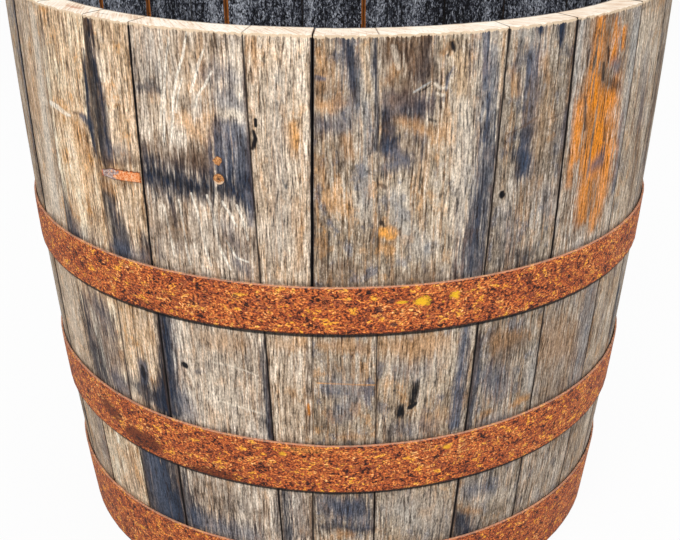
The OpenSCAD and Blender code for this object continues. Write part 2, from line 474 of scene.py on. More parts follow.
def field_noise(seed: int, *coordinates: Union[np.ndarray, float], octaves: int = 3) -> np.ndarray:
    """Sample smooth value noise in code, for shapes rather than for paint.

    Args:
        seed: A whole number that picks the pattern.
        coordinates: Up to three, each with a value for every place or one for all.
        octaves: How many sizes of bump are added up.

    Returns:
        One value for each place, between -1 and 1.
    """
    given = np.stack(np.broadcast_arrays(*map(np.atleast_1d, coordinates)), 1)
    places = np.zeros((len(given), 3))
    places[:, :given.shape[1]] = given
    total = np.zeros(len(places))
    share, whole = 1.0, 0.0
    for octave in range(octaves):
        cell = np.floor(places).astype(np.int64)
        part = places - cell
        part = part * part * (3 - 2 * part)
        value = np.zeros(len(places))
        for corner in range(8):
            step = np.array([corner & 1, corner >> 1 & 1, corner >> 2])
            mixed = (cell + step) @ CORNER_STEPS + seed * SEED_STEP + octave * OCTAVE_STEP
            mixed &= LOW_WORD
            mixed = ((mixed ^ (mixed >> 13)) * MIXER) & LOW_WORD
            height = ((mixed ^ (mixed >> 16)) & 0xFFFF) / 32767.5 - 1
            value += height * np.prod(np.where(step, part, 1 - part), axis=1)
        total += value * share
        whole += share
        share *= 0.5
        places = places * 2 + 17.3
    return total / whole


def ease(value: np.ndarray, start: float, end: float) -> np.ndarray:
    """Ease from 0 where value is start to 1 where it is end."""
    part = np.clip((value - start) / (end - start), 0, 1)
    return part * part * (3 - 2 * part)


def deselect() -> None:
    """Deselect every object, since loading the frame leaves its nodes selected."""
    bpy.ops.object.select_all(action="DESELECT")


def take(*pieces: bpy.types.Object) -> None:
    """Select these pieces alone and make the first one active.

    Args:
        pieces: The pieces.
    """
    deselect()
    for piece in pieces:
        piece.select_set(True)
    bpy.context.view_layer.objects.active = pieces[0]


def copy_of(piece: bpy.types.Object, name: str) -> bpy.types.Object:
    """Copy a piece, with a mesh of its own.

    Args:
        piece: The piece.
        name: The copy's name.

    Returns:
        The copy.
    """
    take(piece)
    bpy.ops.object.duplicate(linked=False)
    copied = bpy.context.object
    copied.name = copied.data.name = name
    return copied


def join(pieces: Sequence[bpy.types.Object], name: str, angle: float) -> bpy.types.Object:
    """Make several pieces one.

    Args:
        pieces: The pieces.
        name: The name of the whole.
        angle: The angle in degrees up to which its edges are shaded smooth.

    Returns:
        The whole.
    """
    take(*pieces)
    bpy.ops.object.join()
    whole = bpy.context.object
    whole.name = whole.data.name = name
    smooth_shade(whole, angle)
    return whole


def smooth_shade(piece: bpy.types.Object, angle: float) -> None:
    """Shade a piece smooth, apart from edges sharper than an angle in degrees."""
    take(piece)
    bpy.ops.object.shade_smooth_by_angle(angle=math.radians(angle))


def points_of(mesh: bpy.types.Mesh) -> np.ndarray:
    """List a mesh's points.

    Args:
        mesh: The mesh.

    Returns:
        One row for each point.
    """
    places = np.empty(len(mesh.vertices) * 3)
    mesh.vertices.foreach_get("co", places)
    return places.reshape(-1, 3)


def select_ends(piece: bpy.types.Object, way: int) -> None:
    """Select the faces that look up or down, and stay in edit mode.

    Args:
        piece: The piece, in edit mode.
        way: 1 for up and -1 for down.
    """
    bpy.ops.mesh.select_all(action="DESELECT")
    bpy.ops.object.mode_set(mode="OBJECT")
    for face in piece.data.polygons:
        face.select = face.normal.z * way > 0.9
    bpy.ops.object.mode_set(mode="EDIT")


def seat(piece: bpy.types.Object, slot: str, *nodes: str) -> None:
    """Hand a finished piece to the frame and report it.

    Args:
        piece: The piece.
        slot: The slot of its material.
        nodes: The CAD nodes that it stands for.
    """
    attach(piece, "root")
    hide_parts(*nodes)
    LOG.info("%s: %d faces, %s", piece.name, len(piece.data.polygons), slot)


# ---------------------------------------------------------------- the barrel's form


@dataclass(frozen=True)
class Bow:
    """The barrel's side: one large arc through the foot and the rim."""

    height: float = 0.580
    rim_radius: float = 0.330
    foot_radius: float = 0.285
    rise: float = 0.007
    wall: float = 0.0254

    @property
    def arc(self) -> Triple:
        """Work out the arc.

        Returns:
            The arc's radius, and its centre's radius and height.
        """
        taper = self.rim_radius - self.foot_radius
        chord = math.hypot(taper, self.height)
        radius = (chord * chord / 4 + self.rise * self.rise) / (2 * self.rise)
        away = (radius - self.rise) / chord
        return (radius, (self.rim_radius + self.foot_radius) / 2 - away * self.height,
                self.height / 2 + away * taper)

    def radius(self, height: np.ndarray, depth: Union[np.ndarray, float] = 0.0) -> np.ndarray:
        """Give the radius at a height, at a depth below the outer face."""
        arc, middle, level = self.arc
        return middle + np.sqrt((arc - depth) ** 2 - (height - level) ** 2)

    def tilt(self, height: float) -> float:
        """Give the lean of the outer face's normal at a height, in radians."""
        arc, _, level = self.arc
        return math.asin((height - level) / arc)


def ring_point(azimuth: np.ndarray, radius: np.ndarray, height: np.ndarray) -> np.ndarray:
    """Turn azimuths in degrees, radii and heights into points."""
    turn = np.radians(azimuth)
    return np.stack([radius * np.sin(turn), -radius * np.cos(turn), height], axis=1)


@dataclass(frozen=True)
class Blank:
    """A straight strip, cut evenly along, through and up, before it is laid round.

    Each count is how many lengths that side is cut into.
    """

    across: int
    through: int
    up: int

    def make(self, name: str) -> bpy.types.Object:
        """Cut the strip from a cube that fills the corner from 0 to 1.

        Args:
            name: The object's name.

        Returns:
            The strip.
        """
        deselect()
        bpy.ops.mesh.primitive_cube_add(size=1.0, location=(0.5, 0.5, 0.5))
        strip = bpy.context.object
        strip.name = name
        bpy.ops.object.transform_apply(location=True, rotation=True, scale=True)
        for axis, count in ((0, self.across), (2, self.up), (1, self.through)):
            self._cut(strip, axis, count)
        return strip

    @staticmethod
    def _cut(strip: bpy.types.Object, axis: int, count: int) -> None:
        """Divide all the edges that run along one axis.

        Args:
            strip: The strip.
            axis: 0 for X, 1 for Y and 2 for Z.
            count: How many lengths each edge is cut into.
        """
        mesh = strip.data
        ends = np.empty(len(mesh.edges) * 2, np.int32)
        mesh.edges.foreach_get("vertices", ends)
        run = np.abs(np.diff(points_of(mesh)[ends.reshape(-1, 2)], axis=1))[:, 0]
        bpy.ops.object.mode_set(mode="EDIT")
        bpy.ops.mesh.select_mode(type="EDGE")
        bpy.ops.mesh.select_all(action="DESELECT")
        bpy.ops.object.mode_set(mode="OBJECT")
        mesh.edges.foreach_set("select", run[:, axis] > HAIR)
        bpy.ops.object.mode_set(mode="EDIT")
        bpy.ops.mesh.subdivide(number_cuts=count - 1)
        bpy.ops.object.mode_set(mode="OBJECT")

    def steps(self, strip: bpy.types.Object) -> tuple[np.ndarray, ...]:
        """Number each point of the strip by its cut across, through and up."""
        counts = np.array([self.across, self.through, self.up])
        return tuple(np.rint(points_of(strip.data) * counts).astype(int).T)

    @staticmethod
    def paint_sides(strip: bpy.types.Object, outer: int, inner: int, top: int, rest: int) -> None:
        """Give each side of the straight strip the number of its material.

        Args:
            strip: The strip.
            outer: The number for the side that will face out.
            inner: The number for the side that will face in.
            top: The number for the upper end.
            rest: The number for the other sides.
        """
        mesh = strip.data
        centres = np.empty(len(mesh.polygons) * 3)
        mesh.polygons.foreach_get("center", centres)
        _, through, up = centres.reshape(-1, 3).T
        numbers = np.full(len(up), rest, np.int32)
        numbers[through < HAIR] = outer
        numbers[through > 1 - HAIR] = inner
        numbers[up > 1 - HAIR] = top
        mesh.polygons.foreach_set("material_index", numbers)

    @staticmethod
    def lay(strip: bpy.types.Object, points: np.ndarray, **attributes: np.ndarray) -> None:
        """Move the strip's points to their places and store what its paint reads.

        Args:
            strip: The strip.
            points: A place for each point.
            attributes: A vector for each point, by the attribute's name.
        """
        mesh = strip.data
        mesh.vertices.foreach_set("co", points.ravel())
        for name, values in attributes.items():
            layer = mesh.attributes.new(name, "FLOAT_VECTOR", "POINT")
            layer.data.foreach_set("vector", values.astype(np.float32).ravel())
        mesh.update()


# ---------------------------------------------------------------- hoop sizes


@dataclass(frozen=True)
class HoopSize:
    """One hoop: where it sits, where its ends lap, its marks and how it has slipped.

    The drift lists (azimuth, millimetres up) pairs in order of azimuth.
    """

    name: str
    low: float
    width: float
    lap_azimuth: float
    marks: tuple[Mark, ...]
    drift_mm: tuple[tuple[float, float], ...] = ((-180, 0), (180, 0))

    @property
    def middle(self) -> float:
        """Give the height of the hoop's middle."""
        return self.low + self.width / 2

    def drift(self, azimuth: np.ndarray) -> np.ndarray:
        """Give how far the hoop has slipped up at each azimuth in degrees."""
        knots = np.array(self.drift_mm)
        return np.interp((azimuth + 180) % 360 - 180, knots[:, 0], knots[:, 1]) * MM


BILGE = HoopSize("bilge_hoop", 0.319, 0.046, 168, (
    Mark(YELLOW, 12.6, 348, 8, 6, 0.95, 1.8, 0.6),
    Mark(YELLOW, 18.0, 351, 5.5, 5, 0.95, 1.6, 0.6),
    Mark(YELLOW, 9.5, 349, 6, 1.8, 0.8, 1.0, 0.5),
    Mark(PLUM, 7.9, 351, 4.5, 3.5, 0.9, 0.9, 0.6),
    Mark(PLUM, 6.1, 343, 4, 4, 0.8, 0.9, 0.6),
    Mark(PLUM, 8.4, 328, 4, 3, 0.9, 0.9, 0.6),
    Mark(PLUM, -16.0, 351, 5, 3.5, 0.7, 1.2, 0.6),
    Mark(PLUM, 38.5, 349, 5, 3, 0.7, 1.0, 0.6),
    Mark(PLUM, 31.1, 355, 12, 4, 0.45, 1.5, 0.8),
    Mark(DARK_RUST, -32, 326, 26, 4, 0.6, 1.4, 0.8),
    Mark(DARK_RUST, -27, 340, 14, 6, 0.4, 1.6, 0.8),
))
QUARTER = HoopSize("quarter_hoop", 0.150, 0.054, 180, (
    Mark(DARK_RUST, -47.0, 180, 24, 13, 0.85, 0.7, 0.5, lean=-0.6),
    Mark(DARK_RUST, -38.5, 165, 38, 14, 0.9, 0.7, 0.5),
    Mark(DARK_RUST, -22.5, 153, 38, 9, 0.9, 0.7, 0.5),
    Mark(AMBER, -6, 196, 30, 5, 0.4, 1.6, 0.8),
    Mark(YELLOW, -9.5, 190, 5, 3, 0.6, 1.2, 0.6),
    Mark(YELLOW, 18.8, 190, 5, 3.5, 0.7, 1.0, 0.6),
), ((-180, 0), (-90, 3), (-58, 6), (-40, 2), (0, -3), (40, 0), (90, 2), (180, 0)))
HEAD = HoopSize("head_hoop", 0.002, 0.072, 192, (
    Mark(DARK_RUST, -52, 20, 20, 12, 0.4, 1.6, 0.8),
    Mark(DARK_RUST, -20, 30, 24, 12, 0.4, 1.6, 0.8),
    Mark(DARK_RUST, 30, 22, 30, 12, 0.4, 1.6, 0.8),
))
HOOP_SIZES = (BILGE, QUARTER, HEAD)


# ---------------------------------------------------------------- staves


# Each joint between staves: its azimuth at the rim and at the foot
JOINTS: tuple[tuple[float, float], ...] = (
    (-62, -66), (-51.5, -54), (-39.5, -41), (-30.5, -31), (-13, -10.2), (-3.5, -5),
    (5.3, 6.7), (23.8, 21.5), (35.7, 36.5), (52, 51.5), (64, 64), (77, 77), (91, 91),
    (105, 105), (120, 120), (138.5, 138.5), (154, 154), (174, 174), (189, 189),
    (208, 208), (217, 217), (229, 229), (243.5, 243.5), (257, 257), (271, 271), (284, 284),
)


@dataclass(frozen=True)
class Pit:
    """A hollow in the outer face: a split, a hole or a bruise. Sizes are half widths."""

    azimuth: float
    height_mm: float
    across_mm: float
    along_mm: float
    depth_mm: float


@dataclass(frozen=True)
class Seam:
    """How one joint has opened.

    Half its gap and how black its dirt is are given above the upper hoop,
    between the upper two and below them; the other sizes are how far its
    corners are worn and how far the dirt reaches.
    """

    half_gap_mm: Triple = (0.2, 0.2, 0.2)
    wear_mm: float = 0.5
    line_mm: float = 0.6
    dark: Triple = (0.8, 0.8, 0.8)

    def half_gap(self, height: np.ndarray) -> np.ndarray:
        """Give half the gap at a height, changing over behind the hoops."""
        above, between, below = self.half_gap_mm
        return np.interp(height, (0.155, 0.200, 0.324, 0.360), (below, between, between, above)) * MM


@dataclass(frozen=True)
class Tone:
    """How one stave has weathered.

    Each value runs from 0 to 1: tan against grey, light against dark, how much
    it is mottled, and how much pale streaking shows.
    """

    tan: float
    light: float
    mottle: float
    streak: float


# The joints and the staves that the photograph shows, by their numbers from 0
OPEN_SEAMS: dict[int, Seam] = {
    # Joint 0's wide, full-black line is dirt and painted shade: the sliver of stave beyond it lies in shadow
    0: Seam((0.45, 0.4, 0.4), 0.9, 2.0, (1.0, 0.9, 0.8)),
    1: Seam((0.1, 0.1, 0.3), 0.3, 0.3, (0.35, 0.45, 0.8)),
    2: Seam((0.1, 0.25, 0.35), 0.4, 0.4, (0.4, 0.75, 0.85)),
    3: Seam((0.45, 0.35, 0.4), 0.5, 0.6, (1.0, 1.0, 1.0)),
    4: Seam((0.15, 0.3, 0.4), 0.35, 0.35, (0.8, 0.9, 0.95)),
    5: Seam((0.6, 0.05, 0.2), 0.35, 0.6, (1.0, 0.35, 0.7)),
    6: Seam((0.03, 0.2, 0.45), 0.15, 0.2, (0.35, 0.7, 0.95)),
    7: Seam((0.25, 0.3, 0.45), 0.4, 0.5, (0.85, 0.95, 0.95)),
    8: Seam((0.5, 0.3, 0.4), 0.4, 0.6, (0.95, 0.8, 0.8)),
    9: Seam((0.15, 0.2, 0.3), 0.35, 0.4, (0.6, 0.7, 0.8)),
    10: Seam((0.25, 0.3, 0.4), 0.5, 0.5, (0.8, 0.8, 0.8)),
}
TONES: dict[int, Tone] = {
    25: Tone(0.5, 0.35, 0.5, 0.3), 0: Tone(0.6, 0.66, 0.25, 0.6), 1: Tone(0.85, 0.98, 0.12, 0.25),
    2: Tone(0.92, 0.78, 0.15, 0.3), 3: Tone(0.35, 0.72, 0.2, 0.5), 4: Tone(0.5, 0.80, 0.12, 0.5),
    5: Tone(0.6, 0.32, 0.6, 0.35), 6: Tone(0.55, 0.44, 0.5, 0.5), 7: Tone(0.4, 0.26, 0.45, 0.15),
    8: Tone(0.3, 0.50, 0.35, 0.6), 9: Tone(0.45, 0.56, 0.3, 0.5),
}

PITS: tuple[Pit, ...] = (
    Pit(-12.3, 500, 1.6, 15, 2.4), Pit(-11.6, 486, 1.2, 8, 1.8),
    Pit(12.3, 256, 2.2, 12, 2.2), Pit(10.4, 233, 2.6, 6, 2.2), Pit(11.7, 240, 1.2, 9, 1.2),
    Pit(24.8, 437, 2.4, 4, 3.0), Pit(-26.6, 264, 2.4, 3.6, 3.0), Pit(-35.9, 242, 3.5, 7, 1.2),
    Pit(15.7, 567, 3.2, 5, 1.4), Pit(-8.0, 454, 1.4, 5, 1.5), Pit(39.2, 109, 1.6, 6, 1.6),
    Pit(6.4, 424, 2.4, 3, 1.4), Pit(-17.6, 456, 6.0, 6, 1.0),
)


def seam_at(number: int) -> Seam:
    """Give a joint's seam, going on past the last."""
    return OPEN_SEAMS.get(number % len(JOINTS), Seam())


def joint_azimuth(number: int, climb: Union[np.ndarray, float]) -> Union[np.ndarray, float]:
    """Give a joint's azimuth, going on past the last.

    Args:
        number: The joint's number, which is that of the stave on its right.
        climb: The height, as a share of the tub's.

    Returns:
        The azimuth at each height.
    """
    turns, place = divmod(number, len(JOINTS))
    rim, foot = JOINTS[place]
    return (foot + 360 * turns) + (rim - foot) * climb


@dataclass
class Staves:
    """All the staves of the tub, each sawn off flat at the rim."""

    bow: Bow
    blank: Blank = Blank(44, 8, 166)
    croze_low_mm: float = 38.5
    croze_high_mm: float = 45.5
    croze_depth: float = 0.005
    chime_height: float = 0.014
    chime_depth: float = 0.008
    layers_mm: tuple[float, ...] = (0, 0.4, 1.2, 3, 7, 13, 19, 23.6, 25.4)
    corner_mm: tuple[float, ...] = (0, 0.35, 0.9, 1.7, 2.9)
    foot_rows_mm: tuple[float, ...] = (0, 0.8, 2, 4.5, 8, 11, 14, 18, 23, 28, 33, 38.4, 38.6, 42, 45.4, 45.6)
    rim_rows_mm: tuple[float, ...] = (571, 573.2, 575, 576.4, 577.5, 578.4, 579, 579.5, 580)
    cupping_mm: float = 0.22
    fibre_mm: float = 0.09
    worn_reach_mm: float = 1.1
    char_mm: float = 0.5
    chip_mm: float = 1.1
    chip_reach_mm: float = 2.2
    settle_mm: float = 0.35
    saw_wave_mm: float = 0.12
    fringe_mm: float = 1.5
    fringe_depth_mm: float = 0.7
    fringe_rise_mm: float = 2.5

    def rows(self) -> np.ndarray:
        """List the height of each cut.

        Returns:
            The heights, closer together at the groove and the rim.
        """
        between = self.blank.up + 1 - len(self.foot_rows_mm) - len(self.rim_rows_mm)
        middle = np.linspace(self.foot_rows_mm[-1], self.rim_rows_mm[0], between + 2)[1:-1]
        return np.concatenate([self.foot_rows_mm, middle, self.rim_rows_mm]) * MM

    def columns(self, width: float) -> np.ndarray:
        """List the share of the width at each cut.

        Args:
            width: The stave's mean width.

        Returns:
            The shares, closer together at the corners.
        """
        corner = np.array(self.corner_mm) * MM / width
        between = self.blank.across + 1 - 2 * len(corner)
        middle = np.linspace(corner[-1], 1 - corner[-1], between + 2)[1:-1]
        return np.concatenate([corner, middle, 1 - corner[::-1]])

    def inner_depth(self, height: np.ndarray) -> np.ndarray:
        """Give the depth of the inner face, with the foot's bevel and the groove.

        Args:
            height: Height of each point.

        Returns:
            The depth at each point.
        """
        bevel = self.chime_depth * np.clip(1 - height / self.chime_height, 0, 1)
        groove = (height > self.croze_low_mm * MM) & (height < self.croze_high_mm * MM)
        return np.where(groove, self.bow.wall - self.croze_depth, self.bow.wall - bevel)

    def relief(self, number: int, azimuth: np.ndarray, height: np.ndarray,
               left: np.ndarray, right: np.ndarray) -> np.ndarray:
        """Work out how deep weather and use have cut into the outer face.

        Args:
            number: The stave's number, from 0.
            azimuth: Azimuth of each point.
            height: Height of each point.
            left: Distance of each point from the left joint.
            right: Distance of each point from the right joint.

        Returns:
            The depth at each point.
        """
        arc = np.radians(azimuth) * LAY_RADIUS
        slow = field_noise(11 + number, arc / 0.028, height / 0.090)
        fibre = field_noise(71 + number, arc / 0.0042, height / 0.055)
        depth = self.cupping_mm * MM * (slow + 1) + self.fibre_mm * MM * (fibre + 1)
        for side, seam_number in ((left, number), (right, number + 1)):
            torn = field_noise(5 + number, height / 0.006, seam_number)
            wear = seam_at(seam_number).wear_mm * MM * (1 + 0.8 * torn)
            depth += np.clip(wear, 0, None) * np.exp(-(side / (self.worn_reach_mm * MM)) ** 2)
        for pit in PITS:
            across = (arc - math.radians(pit.azimuth) * LAY_RADIUS) / (pit.across_mm * MM)
            along = (height - pit.height_mm * MM) / (pit.along_mm * MM)
            depth += pit.depth_mm * MM * np.clip(1 - across ** 2 - along ** 2, 0, 1)
        return depth

    @staticmethod
    def hem(azimuth: np.ndarray, height: np.ndarray) -> np.ndarray:
        """Measure how far each point lies below and above the nearest hoop's edges.

        Args:
            azimuth: Azimuth of each point.
            height: Height of each point.

        Returns:
            A vector for each point: the distance below, the distance above and 0. A
            point that is well behind the edge counts as far from it.
        """
        lows = [size.low + size.drift(azimuth) for size in HOOP_SIZES]
        below = np.stack([low - height for low in lows])
        above = np.stack([height - low - size.width for low, size in zip(lows, HOOP_SIZES)])
        nearest = np.argmin(np.maximum(below, above), axis=0)
        pick = np.arange(len(height))
        below, above = below[nearest, pick], above[nearest, pick]
        hidden, far = -6 * MM, 1.0
        return np.stack([np.where(below < hidden, far, below), np.where(above < hidden, far, above),
                         np.zeros(len(height))], 1)

    def build(self, number: int, strip: bpy.types.Object, name: str) -> bpy.types.Object:
        """Lay one stave round the barrel.

        Args:
            number: The stave's number, from 0.
            strip: The straight strip that is copied.
            name: The object's name.

        Returns:
            The stave.
        """
        stave = copy_of(strip, name)
        across, through, up = self.blank.steps(stave)
        bow = self.bow
        height = self.rows()[up]
        outside = bow.radius(height)
        degrees = np.degrees(1 / outside)
        climb = height / bow.height
        start = joint_azimuth(number, climb) + seam_at(number).half_gap(height) * degrees
        end = joint_azimuth(number + 1, climb) - seam_at(number + 1).half_gap(height) * degrees
        mean_width = math.radians(np.mean(end - start)) * float(np.mean(outside))
        share = self.columns(mean_width)[across]
        azimuth = start + share * (end - start)
        width = np.radians(end - start) * outside
        left, right = share * width, (1 - share) * width

        outer = self.relief(number, azimuth, height, left, right)
        inner = self.inner_depth(height)
        arc = np.radians(azimuth) * LAY_RADIUS
        char = field_noise(131 + number, arc / 0.011, height / 0.020, octaves=4)
        above = ease(height, 0.055, 0.075)
        inner = inner - above * self.char_mm * MM * (char + 1)
        chipped = np.exp(-(np.minimum(left, right) / (self.chip_reach_mm * MM)) ** 2)
        inner = inner - above * chipped * self.chip_mm * MM * (1 + 0.7 * char)
        depth = outer + np.array(self.layers_mm)[through] * MM / bow.wall * (inner - outer)

        sawn = ease(height, 0.560, bow.height)
        settle = self.settle_mm * MM * (field_noise(3, number * 3.7, octaves=1)[0] + 1)
        waves = self.saw_wave_mm * MM * (field_noise(47, arc / 0.006 + depth / 0.009, depth / 0.02) + 1)
        tear = field_noise(91 + number, arc / 0.0024, octaves=2)
        fringe = np.clip(tear + 0.15, 0, 1) * self.fringe_mm * MM
        fringe = fringe * np.exp(-(depth - outer) / (self.fringe_depth_mm * MM))
        frayed = ease(height, bow.height - self.fringe_rise_mm * MM, bow.height)
        top = height - sawn * (settle + waves) - fringe * frayed
        points = ring_point(azimuth, bow.radius(height, depth), top)
        Blank.lay(stave, points, lay=np.stack([arc, height, depth], 1),
                  edge=np.stack([left, right, share], 1), hem=self.hem(azimuth, height))
        smooth_shade(stave, 42)
        return stave
